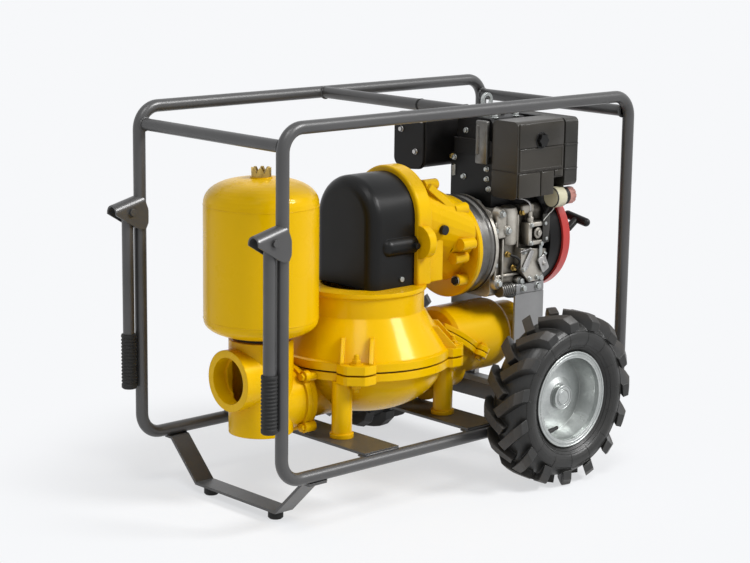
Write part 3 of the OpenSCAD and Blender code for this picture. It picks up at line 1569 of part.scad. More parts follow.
// Control cover on the crankcase's near side
lever_x = x_engine + 156;
lever_z = z_shaft - 44;
lever_pin_r = 4;
governor_t = 24;
module governor_cover() {
    outline = [[91, -7], [180, -17], [180, -59], [152, -92], [120, -92], [92, -60]];
    color("silver") trolley() translate([0, -crankcase_w, 0]) difference() {
        translate([x_engine, 0, z_shaft]) rotate([90, 0, 0]) linear_extrude(governor_t) polygon(outline);
        translate([lever_x, 0, lever_z]) ybar(lever_pin_r + fit, 3 * governor_t);
    }
}

// Speed lever on its pin
module speed_lever() {
    arm_t = 4;
    arm_l = 42;
    hub_r = 9;
    tip_r = 5;
    pin_l = governor_t - 6;
    face_y = -crankcase_w - governor_t - gap;
    color("silver") trolley() translate([lever_x, face_y, lever_z]) rotate([90, 0, 0]) {
        cylinder(r = hub_r, h = arm_t);
        translate([-tip_r, 0, 0]) cube([2 * tip_r, arm_l, arm_t]);
        translate([0, arm_l, 0]) cylinder(r = tip_r, h = 2 * arm_t);
        translate([0, 0, -pin_l]) cylinder(r = lever_pin_r, h = pin_l + arm_t);
    }
}

// Folded sheet brackets between the base bar and the crankcase
module engine_brackets() {
    t = 5;
    w = 100;
    foot = 44;
    arch_r = 34;
    arch_up = 40;
    height = z_case_low - z_deck;
    shelf_in = crankcase_w - 32;
    out = crankcase_w + 16;
    color("gray") trolley() translate([engine_bar_x, 0, z_deck])
        for (side = [-1, 1]) mirror([0, side < 0 ? 1 : 0, 0]) {
            difference() {
                translate([-w / 2, out - t, 0]) cube([w, t, height]);
                translate([0, out, arch_up]) ybar(arch_r, 4 * t);
                translate([-arch_r, out - 2 * t, -eps]) cube([2 * arch_r, 3 * t, arch_up + eps]);
            }
            for (x = [-w / 2, arch_r])
                translate([x, out - t, 0]) cube([w / 2 - arch_r, foot, t]);
            translate([-w / 2, shelf_in, height - t]) cube([w, out - shelf_in, t]);
        }
}

// Lifting eye on the rocker cover
module lifting_eye() {
    x = x_engine + 81;
    t = 6;
    eye_r = 18;
    hole_r = 10;
    eye_up = 37;
    foot = [56, 40];
    color("dimgray") trolley() translate([x, 0, z_engine_top]) {
        translate([-foot[0] / 2, -foot[1] / 2, 0]) cube([foot[0], foot[1], t]);
        difference() {
            union() {
                translate([0, 0, eye_up]) ybar(eye_r, t);
                translate([-eye_r, -t / 2, 0]) cube([2 * eye_r, t, eye_up]);
            }
            translate([0, 0, eye_up]) ybar(hole_r, 2 * t);
        }
    }
}

near_hoop();
far_hoop();
cross_tubes();
base_bars();
foot_plate();
rubber_feet();
axle_beam();
stub_axles();
near_tyre();
near_rim();
far_tyre();
far_rim();
handle_brackets();
handle_pivots();
near_handle();
near_grip();
far_handle();
far_grip();
pump_bowl();
pump_bell();
flange_bolts();
diaphragm();
diaphragm_plates();
connecting_rod();
eccentric_shaft();
discharge_box();
suction_box();
discharge_flap();
suction_flap();
valve_box_bolts();
air_vessel();
vessel_collar();
crank_cover();
cover_screws();
gearbox_housing();
casing_plugs();
input_pinion();
countershaft();
output_gear();
shaft_bearings();
adapter_ring();
crankcase();
cylinder_barrel();
rocker_cover();
crankshaft();
flywheel();
fan_housing();
recoil_cover();
recoil_reel();
recoil_rope();
recoil_grip();
muffler();
air_filter();
filter_knob();
fuel_tank();
fuel_cap();
governor_cover();
speed_lever();
engine_brackets();
lifting_eye();
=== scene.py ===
"""Looks of an engine driven diaphragm pump on a two-wheel trolley: finishes, fittings and stage."""

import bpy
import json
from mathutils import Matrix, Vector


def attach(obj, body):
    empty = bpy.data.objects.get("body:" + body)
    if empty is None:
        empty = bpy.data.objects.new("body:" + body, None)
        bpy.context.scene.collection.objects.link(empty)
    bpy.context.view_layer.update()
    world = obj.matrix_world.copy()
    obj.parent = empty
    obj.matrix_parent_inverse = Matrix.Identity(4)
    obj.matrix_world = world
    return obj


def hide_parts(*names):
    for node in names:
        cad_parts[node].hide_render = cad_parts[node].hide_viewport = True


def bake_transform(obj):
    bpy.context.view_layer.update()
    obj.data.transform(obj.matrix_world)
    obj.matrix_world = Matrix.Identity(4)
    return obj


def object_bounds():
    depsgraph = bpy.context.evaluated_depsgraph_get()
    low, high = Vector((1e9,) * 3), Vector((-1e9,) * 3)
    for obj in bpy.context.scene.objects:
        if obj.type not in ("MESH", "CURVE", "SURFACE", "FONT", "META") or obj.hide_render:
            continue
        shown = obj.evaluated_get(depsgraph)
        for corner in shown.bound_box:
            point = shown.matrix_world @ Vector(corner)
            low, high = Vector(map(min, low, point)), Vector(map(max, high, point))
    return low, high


bl_info = {
    "name": "Trolley diaphragm pump",
    "version": (1, 0, 0),
    "blender": (4, 5, 0),
    "location": "View3D > Sidebar > Pump",
    "description": "Finishes, fittings and stage for a diaphragm pump on a trolley",
    "category": "Object",
}

import json
import math
from collections import namedtuple

import bmesh
import bpy
from bpy.props import FloatProperty, FloatVectorProperty, IntProperty, PointerProperty
from bpy.types import Operator, Panel, PropertyGroup
from mathutils import Matrix, Vector

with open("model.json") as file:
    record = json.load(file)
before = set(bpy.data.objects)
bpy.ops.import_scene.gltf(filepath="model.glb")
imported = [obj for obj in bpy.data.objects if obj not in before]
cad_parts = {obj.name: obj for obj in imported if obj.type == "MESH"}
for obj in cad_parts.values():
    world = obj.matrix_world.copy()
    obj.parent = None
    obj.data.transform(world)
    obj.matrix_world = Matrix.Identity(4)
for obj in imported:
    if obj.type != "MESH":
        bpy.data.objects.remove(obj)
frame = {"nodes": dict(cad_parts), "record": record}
CAD_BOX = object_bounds()
CAD_TOP = CAD_BOX[1][2]

# The trolley's own drawing axes: x from the handle posts, z from the bottom tubes, in mm
MM = 0.001
POST_X = 506.5
GROUND = 128.0
NEAR, FAR = -1, 1
LEFT, RIGHT = Vector((-1, 0, 0)), Vector((1, 0, 0))
TO_NEAR, TO_FAR = Vector((0, -1, 0)), Vector((0, 1, 0))
UP, DOWN = Vector((0, 0, 1)), Vector((0, 0, -1))

# Places of the part, in mm on the trolley
HOOP_Y = 245.0
LIFT_BAR_X, LIFT_BAR_Z = 534.0, 745.0
WHEEL_X, WHEEL_Y, WHEEL_Z = 770.0, 323.0, 75.0
TYRE_HALF, TYRE_MID_R, TYRE_DEPTH = 55.0, 145.6, 39.4
PUMP_X, JOINT_Z, EAR_R = 445.0, 170.0, 211.0
VESSEL_X, VESSEL_Z, VESSEL_R = 146.0, 296.0, 127.0
SHAFT_Z, ENGINE_X = 389.0, 762.0
CASE_Y, FILTER_Y = 92.0, 150.0
FAR_COVER_X, FAR_COVER_Z = 862.0, 378.0
FILLER_Y, FILLER_Z = -130.0, 499.0
STARTER_FACE_X = 1012.0
ROPE_MOUTH = Vector((STARTER_FACE_X, -115, 408))
ROPE_SLOPE = math.radians(34)


def at(x, y, z):
    """Row point in metres of a point on the trolley in mm."""
    return Vector(((x - POST_X) * MM, y * MM, (z + GROUND) * MM))


def stand(point, direction, turn=0.0):
    """Matrix that sets a shape drawn in mm on point, its own +Z along direction."""
    aimed = Vector(direction).to_track_quat("Z", "Y").to_matrix().to_4x4()
    spun = aimed @ Matrix.Rotation(turn, 4, "Z")
    return Matrix.Translation(at(*point)) @ spun @ Matrix.Scale(MM, 4)


# Sizes and colours that a user would change


def number_prop(name, description, default, low, high, unit="NONE"):
    return FloatProperty(name=name, description=description, default=default, min=low, max=high, unit=unit)


def colour_prop(name, default):
    return FloatVectorProperty(
        name=name, description=f"Colour of the {name.lower()}", default=default,
        subtype="COLOR", size=3, min=0, max=1,
    )


class PumpColours(PropertyGroup):
    pump: colour_prop("Pump paint", (0.82, 0.485, 0.0))
    # Painted shade: the amber the pump paint turns in hollows and corners
    pump_shade: colour_prop("Pump paint in hollows", (0.56, 0.25, 0.001))
    tube: colour_prop("Tube paint", (0.080, 0.079, 0.079))
    cover: colour_prop("Crank cover paint", (0.006, 0.006, 0.006))
    starter: colour_prop("Starter paint", (0.78, 0.050, 0.040))
    sheet: colour_prop("Bracket paint", (0.30, 0.30, 0.302))
    filter_box: colour_prop("Filter box plastic", (0.034, 0.029, 0.021))
    tank: colour_prop("Tank plastic", (0.040, 0.038, 0.033))
    cap: colour_prop("Filler cap plastic", (0.66, 0.30, 0.25))
    cup: colour_prop("Filler cup plastic", (0.66, 0.62, 0.44))
    tread: colour_prop("Tyre rubber", (0.016, 0.016, 0.015))
    dust: colour_prop("Dust on the tyre lugs", (0.050, 0.043, 0.036))


class PumpTrim(PropertyGroup):
    bead: number_prop("Weld bead", "Radius of a weld bead", 0.0026, 0.001, 0.005, "LENGTH")
    rope: number_prop("Rope", "Radius of the starter rope", 0.0022, 0.001, 0.003, "LENGTH")
    hose: number_prop("Fuel hose", "Radius of the fuel hose", 0.0042, 0.002, 0.006, "LENGTH")
    lug_count: IntProperty(name="Tyre lines", description="Mould lines on each tyre wall", default=15, min=8, max=30)


class PumpStage(PropertyGroup):
    lens: number_prop("Lens", "Focal length of the camera", 95.765, 20, 300, "CAMERA")
    key: number_prop("Key lamp", "Strength of the key lamp", 2.55, 0, 10)
    top: number_prop("Top lamp", "Strength of the top lamp", 0.9, 0, 10)
    world: number_prop("World", "Level of the even light", 0.27, 0, 2)
    paper: colour_prop("Backdrop paper", (0.930, 0.939, 0.956))


# Shader helpers

FLOAT, VECTOR = "NodeSocketFloat", "NodeSocketVector"
RAY_SAMPLES = 6
BUMP_DEPTH = 0.001
COAT_ROUGH = 0.09
GROUPS = {}
FINISHES = {}


def plug(tree, socket, value):
    """Links a socket to another one, or sets its value."""
    if isinstance(value, bpy.types.NodeSocket):
        tree.links.new(value, socket)
    else:
        socket.default_value = value


def add_node(tree, kind, settings=None, **sockets):
    """Shader node of a kind, its settings and inputs filled in."""
    made = tree.nodes.new("ShaderNode" + kind)
    for key, value in (settings or {}).items():
        setattr(made, key, value)
    for key, value in sockets.items():
        plug(tree, made.inputs[key.replace("_", " ")], value)
    return made


def maths(tree, operation, *values, clamp=False):
    made = add_node(tree, "Math", {"operation": operation, "use_clamp": clamp})
    for socket, value in zip(made.inputs, values):
        plug(tree, socket, value)
    return made.outputs[0]


def mixed(tree, share, first, second):
    """Colour between first and second, by share."""
    made = add_node(tree, "Mix", {"data_type": "RGBA"})
    plug(tree, made.inputs["Factor"], share)
    for name, value in (("A", first), ("B", second)):
        socket = next(s for s in made.inputs if s.name == name and s.type == "RGBA")
        plug(tree, socket, value if isinstance(value, bpy.types.NodeSocket) else (*value, 1.0))
    return next(s for s in made.outputs if s.type == "RGBA")


def spread(tree, value, low, high):
    """A value from 0 to 1 spread over low to high."""
    return add_node(tree, "MapRange", Value=value, To_Min=low, To_Max=high).outputs[0]


def ramp(tree, value, low, high, top=1.0):
    """0 below low, rising to top at high."""
    return add_node(tree, "MapRange", Value=value, From_Min=low, From_Max=high, To_Max=top).outputs[0]


def object_point(tree):
    return add_node(tree, "TexCoord").outputs["Object"]


def noise(tree, point, scale, detail, rough=0.5):
    return add_node(tree, "TexNoise", Vector=point, Scale=scale, Detail=detail, Roughness=rough).outputs[0]


def new_group(name, inputs, outputs):
    """Empty node group with its sockets, its inputs' outputs and its outputs' inputs."""
    tree = bpy.data.node_groups.new(name, "ShaderNodeTree")
    for label, default in inputs.items():
        socket = tree.interface.new_socket(label, in_out="INPUT", socket_type=FLOAT)
        socket.default_value = default
    for label, kind in outputs.items():
        tree.interface.new_socket(label, in_out="OUTPUT", socket_type=kind)
    given, out = tree.nodes.new("NodeGroupInput"), tree.nodes.new("NodeGroupOutput")
    return tree, given.outputs, out.inputs


def skin_group():
    """Fine ripple and broad tone of a sprayed, moulded or cast skin."""
    tree, given, out = new_group("Skin", {"Fine": 900.0, "Broad": 14.0}, {"Height": FLOAT, "Tone": FLOAT})
    point = object_point(tree)
    plug(tree, out["Height"], noise(tree, point, given["Fine"], 2.0))
    plug(tree, out["Tone"], ramp(tree, noise(tree, point, given["Broad"], 5.0, 0.6), 0.32, 0.68))
    return tree


def edge_group():
    """Rounded normal at sharp edges, and a broken mask along them."""
    tree, given, out = new_group("Edge", {"Radius": 0.002, "Gain": 2.0}, {"Normal": VECTOR, "Wear": FLOAT})
    bevel = add_node(tree, "Bevel", {"samples": RAY_SAMPLES}, Radius=given["Radius"])
    dot = add_node(tree, "VectorMath", {"operation": "DOT_PRODUCT"})
    plug(tree, dot.inputs[0], bevel.outputs[0])
    plug(tree, dot.inputs[1], add_node(tree, "NewGeometry").outputs["Normal"])
    sharp = maths(tree, "SUBTRACT", 1.0, dot.outputs["Value"])
    bent = maths(tree, "MULTIPLY", sharp, given["Gain"])
    chips = ramp(tree, noise(tree, object_point(tree), 120.0, 4.0, 0.7), 0.42, 0.62)
    plug(tree, out["Normal"], bevel.outputs[0])
    plug(tree, out["Wear"], maths(tree, "MULTIPLY", bent, chips, clamp=True))
    return tree


def hollow_group():
    """Mask of corners and hollows, for dust there and for painted shade where little light reaches."""
    tree, given, out = new_group("Hollow", {"Reach": 0.03, "Amount": 0.6}, {"Mask": FLOAT})
    open_share = add_node(tree, "AmbientOcclusion", {"samples": RAY_SAMPLES}, Distance=given["Reach"]).outputs["AO"]
    shut = maths(tree, "MULTIPLY", maths(tree, "SUBTRACT", 1.0, open_share), given["Amount"])
    patch = spread(tree, noise(tree, object_point(tree), 38.0, 4.0), 0.7, 1.3)
    plug(tree, out["Mask"], maths(tree, "MULTIPLY", shut, patch, clamp=True))
    return tree


def use_group(tree, name, **values):
    return add_node(tree, "Group", {"node_tree": GROUPS[name]}, **values).outputs


# Finishes

# The darkening in hollows, given by its colour, distance and strength, is partly dust and partly painted shade
Finish = namedtuple(
    "Finish", "colour shade rough metallic fine broad bump edge wear wear_gain grime reach grime_share coat"
    " specular tint extra",
    defaults=((0.3, 0.4), 0.0, 900.0, 14.0, 0.05, 0.0015, None, 2.0, None, 0.03, 0.5, 0.0, 0.5,
              (1.0, 1.0, 1.0), None),
)


def make_finish(name, look):
    """Material of one finish: tone, dust and painted shade in hollows, worn edges, ripple and rounded corners."""
    material = bpy.data.materials.new(name)
    material.use_nodes = True
    tree = material.node_tree
    shader = next(n for n in tree.nodes if n.type == "BSDF_PRINCIPLED")
    skin = use_group(tree, "Skin", Fine=look.fine, Broad=look.broad)
    edge = use_group(tree, "Edge", Radius=look.edge, Gain=look.wear_gain)
    colour = mixed(tree, skin["Tone"], look.shade, look.colour)
    height = skin["Height"]
    rough = spread(tree, skin["Tone"], look.rough[1], look.rough[0])
    if look.extra:
        colour, height, rough = look.extra(tree, colour, height, rough)
    # Painted shade, partly dust: the colour darkens in hollows and corners by ambient occlusion
    if look.grime:
        hollow = use_group(tree, "Hollow", Reach=look.reach, Amount=look.grime_share)
        colour = mixed(tree, hollow["Mask"], colour, look.grime)
    if look.wear:
        colour = mixed(tree, edge["Wear"], colour, look.wear)
    bump = add_node(tree, "Bump", Strength=look.bump, Distance=BUMP_DEPTH, Height=height, Normal=edge["Normal"])
    values = {
        "Base Color": colour, "Roughness": rough, "Normal": bump.outputs[0],
        "Metallic": look.metallic, "Specular IOR Level": look.specular,
        "Specular Tint": (*look.tint, 1.0), "Coat Weight": look.coat,
    }
    if look.coat:
        values["Coat Roughness"] = COAT_ROUGH
    for key, value in values.items():
        plug(tree, shader.inputs[key], value)
    material.diffuse_color = (*look.colour, 1.0)
    return material


def spangle(tree, colour, height, rough):
    """Crystal flowers of hot dip zinc."""
    cell = add_node(tree, "TexVoronoi", Vector=object_point(tree), Scale=170.0)
    level = add_node(tree, "RGBToBW", Color=cell.outputs["Color"]).outputs[0]
    darker = mixed(tree, spread(tree, level, 0.0, 0.32), colour, (0.30, 0.32, 0.32))
    return darker, height, maths(tree, "ADD", rough, spread(tree, level, -0.07, 0.09))


def brushed(tree, colour, _height, rough):
    """Turned or ground lines on machined steel."""
    stretched = add_node(tree, "Mapping", Vector=object_point(tree), Scale=(30.0, 900.0, 900.0)).outputs[0]
    line = noise(tree, stretched, 1.0, 3.0)
    return colour, line, maths(tree, "ADD", rough, spread(tree, line, -0.08, 0.1))


def cast_grain(tree, colour, height, rough):
    """Sandy skin of an aluminium or iron casting."""
    point = object_point(tree)
    pits = add_node(tree, "TexVoronoi", Vector=point, Scale=520.0).outputs["Distance"]
    stain = ramp(tree, noise(tree, point, 26.0, 6.0, 0.65), 0.5, 0.75, 0.55)
    stained = mixed(tree, stain, colour, (0.16, 0.145, 0.12))
    return stained, maths(tree, "ADD", pits, height), rough


def weave(tree, colour, _height, rough):
    """Diamond braid of a cord."""
    point = object_point(tree)
    waves = []
    for turn in (-0.9, 0.9):
        slanted = add_node(tree, "Mapping", Vector=point, Rotation=(0.0, turn, 0.3))
        wave = add_node(tree, "TexWave", Vector=slanted.outputs[0], Scale=260.0)
        waves.append(wave.outputs[1])
    braid = maths(tree, "MAXIMUM", *waves)
    return mixed(tree, braid, (0.30, 0.28, 0.24), colour), braid, rough


def lug_dust(centre, dust):
    """Dry dust on the lugs of a tyre, by the distance from its axle."""
    def extra(tree, colour, height, rough):
        point = object_point(tree)
        wheel = add_node(tree, "Mapping", Vector=point, Location=-centre).outputs[0]
        part = add_node(tree, "SeparateXYZ", Vector=wheel).outputs
        squares = [maths(tree, "POWER", maths(tree, "ABSOLUTE", part[axis]), 2.0) for axis in "XZ"]
        far_out = maths(tree, "SQRT", maths(tree, "ADD", *squares))
        blot = noise(tree, point, 30.0, 6.0, 0.7)
        share = maths(tree, "MULTIPLY", ramp(tree, far_out, 0.180, 0.199), spread(tree, blot, 0.1, 1.15), clamp=True)
        powder = maths(tree, "MAXIMUM", share, ramp(tree, blot, 0.45, 0.8, 0.22))
        dull = maths(tree, "ADD", rough, spread(tree, powder, 0.0, 0.25))
        return mixed(tree, powder, colour, dust), height, dull
    return extra


def grey(level):
    return (level, level, level)


def dim(colour, share):
    return [part * share for part in colour]


def build_finishes(hue):
    GROUPS.update(Skin=skin_group(), Edge=edge_group(), Hollow=hollow_group())
    # Colour of dust and painted shade in the hollows of grey and dark parts
    dark_soil_and_shade = grey(0.022)
    # Each grime colour below darkens hollows and corners: dust there, and painted shade
    looks = {
        "frame_paint": Finish(
            hue.tube, dim(hue.tube, 0.84), (0.3, 0.38), 0.25, 1300, 9, 0.05, 0.0012,
            wear=grey(0.16), wear_gain=1, grime=dark_soil_and_shade, grime_share=0.55, specular=0.6),
        # Its hollows get painted shade, an amber darkening of the yellow over a wide reach
        "pump_paint": Finish(
            hue.pump, dim(hue.pump, 0.95), (0.24, 0.32), 0, 420, 8, 0.1, 0.0035,
            grime=hue.pump_shade, reach=0.06, grime_share=0.85, coat=0.12, specular=0.2, tint=(1, 0.82, 0.2)),
        "cover_paint": Finish(
            hue.cover, dim(hue.cover, 0.7), (0.3, 0.4), 0, 1100, 10, 0.06, 0.0016,
            wear=grey(0.03), wear_gain=0.7, specular=0.22),
        "zinc": Finish(
            (0.56, 0.58, 0.565), (0.44, 0.46, 0.45), (0.3, 0.42), 0.9, 700, 20, 0.05, 0.0016,
            grime=(0.09, 0.09, 0.08), grime_share=0.6, extra=spangle),
        "steel": Finish(
            (0.52, 0.51, 0.5), (0.42, 0.41, 0.4), (0.22, 0.34), 1, 700, 20, 0.06, 0.001,
            grime=(0.06, 0.05, 0.04), grime_share=0.6, extra=brushed),
        "rubber": Finish(
            grey(0.012), (0.018, 0.018, 0.017), (0.55, 0.72), 0, 1500, 25, 0.08, 0.0012,
            wear=(0.05, 0.05, 0.048), wear_gain=0.7, specular=0.35),
        "brass": Finish(
            (0.6, 0.42, 0.12), (0.4, 0.27, 0.08), (0.26, 0.4), 1, 700, 60, 0.1, 0.0012,
            grime=(0.1, 0.06, 0.02), grime_share=0.8),
        # Strong painted shade in the gaps between the castings, partly dust
        "engine_alloy": Finish(
            (0.6, 0.57, 0.51), (0.43, 0.4, 0.345), (0.3, 0.48), 0.75, 800, 30, 0.22, 0.0025,
            wear=(0.74, 0.71, 0.66), wear_gain=1.2, grime=(0.035, 0.028, 0.018), reach=0.028,
            grime_share=1.35, extra=cast_grain),
        "adapter_alloy": Finish(
            (0.2, 0.195, 0.185), (0.14, 0.135, 0.125), (0.3, 0.42), 0.9, 800, 30, 0.15, 0.002,
            wear=(0.5, 0.49, 0.46), wear_gain=1, grime=(0.04, 0.035, 0.025), grime_share=0.7),
        "engine_iron": Finish(
            (0.11, 0.108, 0.104), (0.075, 0.07, 0.066), (0.45, 0.6), 0.6, 800, 30, 0.25, 0.0018,
            wear=grey(0.33), grime=dark_soil_and_shade, extra=cast_grain),
        "engine_black": Finish(
            grey(0.006), (0.01, 0.009, 0.009), (0.38, 0.52), 0, 1200, 18, 0.1, 0.002,
            wear=(0.04, 0.038, 0.035), wear_gain=0.9, specular=0.2),
        "sheet_grey": Finish(
            hue.sheet, dim(hue.sheet, 0.88), (0.38, 0.5), 0.3, 1300, 12, 0.05, 0.0014,
            wear=grey(0.4), wear_gain=1.2, grime=dark_soil_and_shade, grime_share=0.4),
        "starter_red": Finish(
            hue.starter, dim(hue.starter, 0.85), (0.28, 0.38), 0, 900, 14, 0.06, 0.002,
            grime=(0.1, 0.01, 0.01), grime_share=0.6, coat=0.2),
        "filter_plastic": Finish(
            hue.filter_box, dim(hue.filter_box, 0.82), (0.26, 0.36), 0, 1600, 9, 0.14, 0.003,
            wear=(0.09, 0.082, 0.07), wear_gain=0.8, specular=0.42),
        "tank_plastic": Finish(
            hue.tank, dim(hue.tank, 0.82), (0.3, 0.4), 0, 1600, 9, 0.14, 0.003,
            wear=(0.08, 0.075, 0.068), wear_gain=0.8, specular=0.4),
        "black_plastic": Finish(
            grey(0.006), grey(0.01), (0.34, 0.46), 0, 1600, 18, 0.1, 0.0014, specular=0.28),
        "cap_plastic": Finish(
            hue.cap, dim(hue.cap, 0.9), (0.26, 0.36), 0, 1300, 30, 0.05, 0.0016,
            grime=(0.25, 0.09, 0.07), grime_share=0.6),
        "cup_plastic": Finish(
            hue.cup, dim(hue.cup, 0.9), (0.28, 0.4), 0, 1300, 30, 0.05, 0.0016,
            grime=(0.25, 0.22, 0.12), grime_share=0.7),
        "gasket": Finish(
            (0.022, 0.016, 0.01), (0.014, 0.01, 0.007), (0.6, 0.75), 0, 1300, 60, 0.2, 0.0005),
        "rope": Finish(
            (0.62, 0.6, 0.54), (0.5, 0.48, 0.42), (0.7, 0.85), 0, 1500, 60, 0.5, 0.0004, extra=weave),
        "wire": Finish(
            (0.74, 0.74, 0.7), (0.62, 0.62, 0.58), (0.4, 0.5), 0, 1300, 60, 0.05, 0.0004),
    }
    for name, look in looks.items():
        FINISHES[name] = make_finish(name, look)
    # The tyre's grime colour is dust and painted shade in the hollows between the lugs
    rubber = Finish(
        hue.tread, dim(hue.tread, 0.75), (0.3, 0.44), 0, 1400, 26, 0.12, 0.003,
        wear=(0.06, 0.056, 0.05), wear_gain=0.8, grime=(0.006, 0.006, 0.005), reach=0.03,
        grime_share=0.8, specular=0.42)
    for side, name in ((NEAR, "near_tyre"), (FAR, "far_tyre")):
        centre = at(WHEEL_X, side * WHEEL_Y, WHEEL_Z)
        FINISHES[name] = make_finish(name, rubber._replace(extra=lug_dust(centre, hue.dust)))


# Nodes whose finish isn't the one of their slot
OWN_FINISH = {"near_tyre": "near_tyre", "far_tyre": "far_tyre", "adapter_ring": "adapter_alloy"}


def paint_nodes():
    """Gives every carried-over node the finish of its slot."""
    for part in frame["record"]["subparts"]:
        name, slot = part["node"], part["material_slot"]
        mesh = frame["nodes"][name].data
        finish = FINISHES[OWN_FINISH.get(name, slot)]
        if mesh.materials:
            for index in range(len(mesh.materials)):
                mesh.materials[index] = finish
        else:
            mesh.materials.append(finish)


# Shapes, drawn in mm on their own axes

MERGE_SHAPE, MERGE_PIECE = 1e-4, 1e-6  # in mm on a shape, in metres on a piece
SHARP_EDGE = 38.0  # degrees
WELD_SWELL, BEAD_SWELL, BEAD_STEP = 0.16, 0.12, 1.2
WASHER_SHARE, WASHER_THICK, WASHER_SEAT = 0.72, 1.6, 1.5
COIL_STEPS = 12
SLAB_EDGE, SLAB_TURN = 0.8, 0.5  # width, and the least turn in radians of an edge that is rounded


def around(count, radius, start=0.0):
    """Points on a circle, the first at start degrees."""
    turns = [math.radians(start + 360 * i / count) for i in range(count)]
    return [(radius * math.cos(turn), radius * math.sin(turn)) for turn in turns]


def lathe(profile, steps=40):
    """Spins a (radius, height) profile round Z."""
    part = bmesh.new()
    points = [part.verts.new((r, 0.0, h)) for r, h in profile]
    lines = [part.edges.new(pair) for pair in zip(points, points[1:])]
    bmesh.ops.spin(part, geom=points + lines, cent=(0, 0, 0), axis=(0, 0, 1), angle=2 * math.pi,
                   steps=steps, use_merge=True)
    bmesh.ops.remove_doubles(part, verts=part.verts, dist=MERGE_SHAPE)
    return part


def collar(inner, outer, height):
    """Profile of a plain ring."""
    return [(inner, 0), (outer, 0), (outer, height), (inner, height), (inner, 0)]


def ring(radius, thick, steps=64, sides=10, ripples=0):
    """Round bead laid in a circle round Z, rippled like a weld if asked."""
    turns = [2 * math.pi * i / sides for i in range(sides + 1)]
    part = lathe([(radius + thick * math.cos(t), thick * math.sin(t)) for t in turns], steps)
    if ripples:
        for vert in part.verts:
            turn = math.atan2(vert.co.y, vert.co.x)
            swell = 1 + WELD_SWELL * math.sin(ripples * turn)
            out = math.hypot(vert.co.x, vert.co.y)
            wide = (radius + (out - radius) * swell) / out
            vert.co = (vert.co.x * wide, vert.co.y * wide, vert.co.z * swell)
    return part


def bead(length, thick):
    """Straight weld bead along Z with round ends."""
    count = max(6, int(length / BEAD_STEP))
    profile = [(0.0, 0.0)]
    for i in range(1, count):
        share = i / count
        end = min(1.0, 5 * min(share, 1 - share)) ** 0.5
        profile.append((thick * end * (1 + BEAD_SWELL * math.sin(i * 2.1)), length * share))
    profile.append((0.0, length))
    return lathe(profile, 10)


def round_edges(part, edges, width, segments=2):
    bmesh.ops.bevel(part, geom=list(edges), offset=width, offset_type="OFFSET", segments=segments,
                    profile=0.5, affect="EDGES", clamp_overlap=True, material=-1)


def hexagon(across, height):
    """Bolt head or nut that stands on its own XY plane."""
    part = bmesh.new()
    corner = across / math.sqrt(3)
    bmesh.ops.create_cone(part, cap_ends=True, segments=6, radius1=corner, radius2=corner, depth=height)
    bmesh.ops.translate(part, verts=part.verts, vec=(0, 0, height / 2))
    top = [e for e in part.edges if all(v.co.z > height * 0.9 for v in e.verts)]
    round_edges(part, top, across * 0.07)
    return part


def disc(radius, thick, edge=0.6, steps=32):
    """Round plate with a broken upper edge."""
    profile = [(0, 0), (radius, 0), (radius, thick - edge), (radius - edge, thick), (0, thick)]
    return lathe(profile, steps)


def block(size, edge, segments=2):
    """Box round its own middle with rounded edges."""
    part = bmesh.new()
    bmesh.ops.create_cube(part, size=1.0)
    bmesh.ops.scale(part, vec=size, verts=part.verts)
    round_edges(part, part.edges, edge, segments)
    return part


def slab(outline, thick):
    """Flat plate from an outline in its own XY plane, thick along Z."""
    part = bmesh.new()
    face = part.faces.new([part.verts.new((x, y, 0.0)) for x, y in outline])
    grown = bmesh.ops.extrude_face_region(part, geom=[face])["geom"]
    raised = [item for item in grown if isinstance(item, bmesh.types.BMVert)]
    bmesh.ops.translate(part, vec=(0, 0, thick), verts=raised)
    bmesh.ops.recalc_face_normals(part, faces=part.faces)
    round_edges(part, [e for e in part.edges if e.calc_face_angle(0) > SLAB_TURN], SLAB_EDGE)
    return part


def pressed(size, edge, margin, depth):
    """Box whose +Z face is pressed in, leaving a rim of margin."""
    part = block(size, edge)
    face = max(part.faces, key=lambda f: (round(f.calc_center_median().z, 3), f.calc_area()))
    bmesh.ops.inset_individual(part, faces=[face], thickness=margin, depth=0.0)
    bmesh.ops.inset_individual(part, faces=[face], thickness=depth * 0.4, depth=-depth)
    return part


def rounded(width, height, radius, steps=5):
    """Corner points of a rectangle with round corners, round its own middle."""
    points = []
    for sx, sy, start in ((1, 1, 0), (-1, 1, 90), (-1, -1, 180), (1, -1, 270)):
        for i in range(steps + 1):
            turn = math.radians(start + 90 * i / steps)
            points.append((sx * (width / 2 - radius) + radius * math.cos(turn),
                           sy * (height / 2 - radius) + radius * math.sin(turn)))
    return points


def loop(x, y, z, width, height, radius, upright=False):
    """Points of a rounded frame round a point, lying flat or standing across the trolley."""
    corners = rounded(width, height, radius, 3)
    return [(x, y + a, z + b) if upright else (x + a, y + b, z) for a, b in corners]


def coil(start, end, radius, turns):
    """Points of a helix between two points in mm."""
    start, end = Vector(start), Vector(end)
    along = (end - start).normalized()
    side = along.orthogonal().normalized()
    other = along.cross(side)
    count = int(turns * COIL_STEPS)
    points = []
    for i in range(count + 1):
        turn = 2 * math.pi * i / COIL_STEPS
        out = side * math.cos(turn) + other * math.sin(turn)
        points.append(start.lerp(end, i / count) + radius * out)
    return points


def link(name, data, finish):
    """Object of a mesh or curve in its finish."""
    data.materials.append(FINISHES[finish])
    made = bpy.data.objects.new(name, data)
    bpy.context.scene.collection.objects.link(made)
    return made


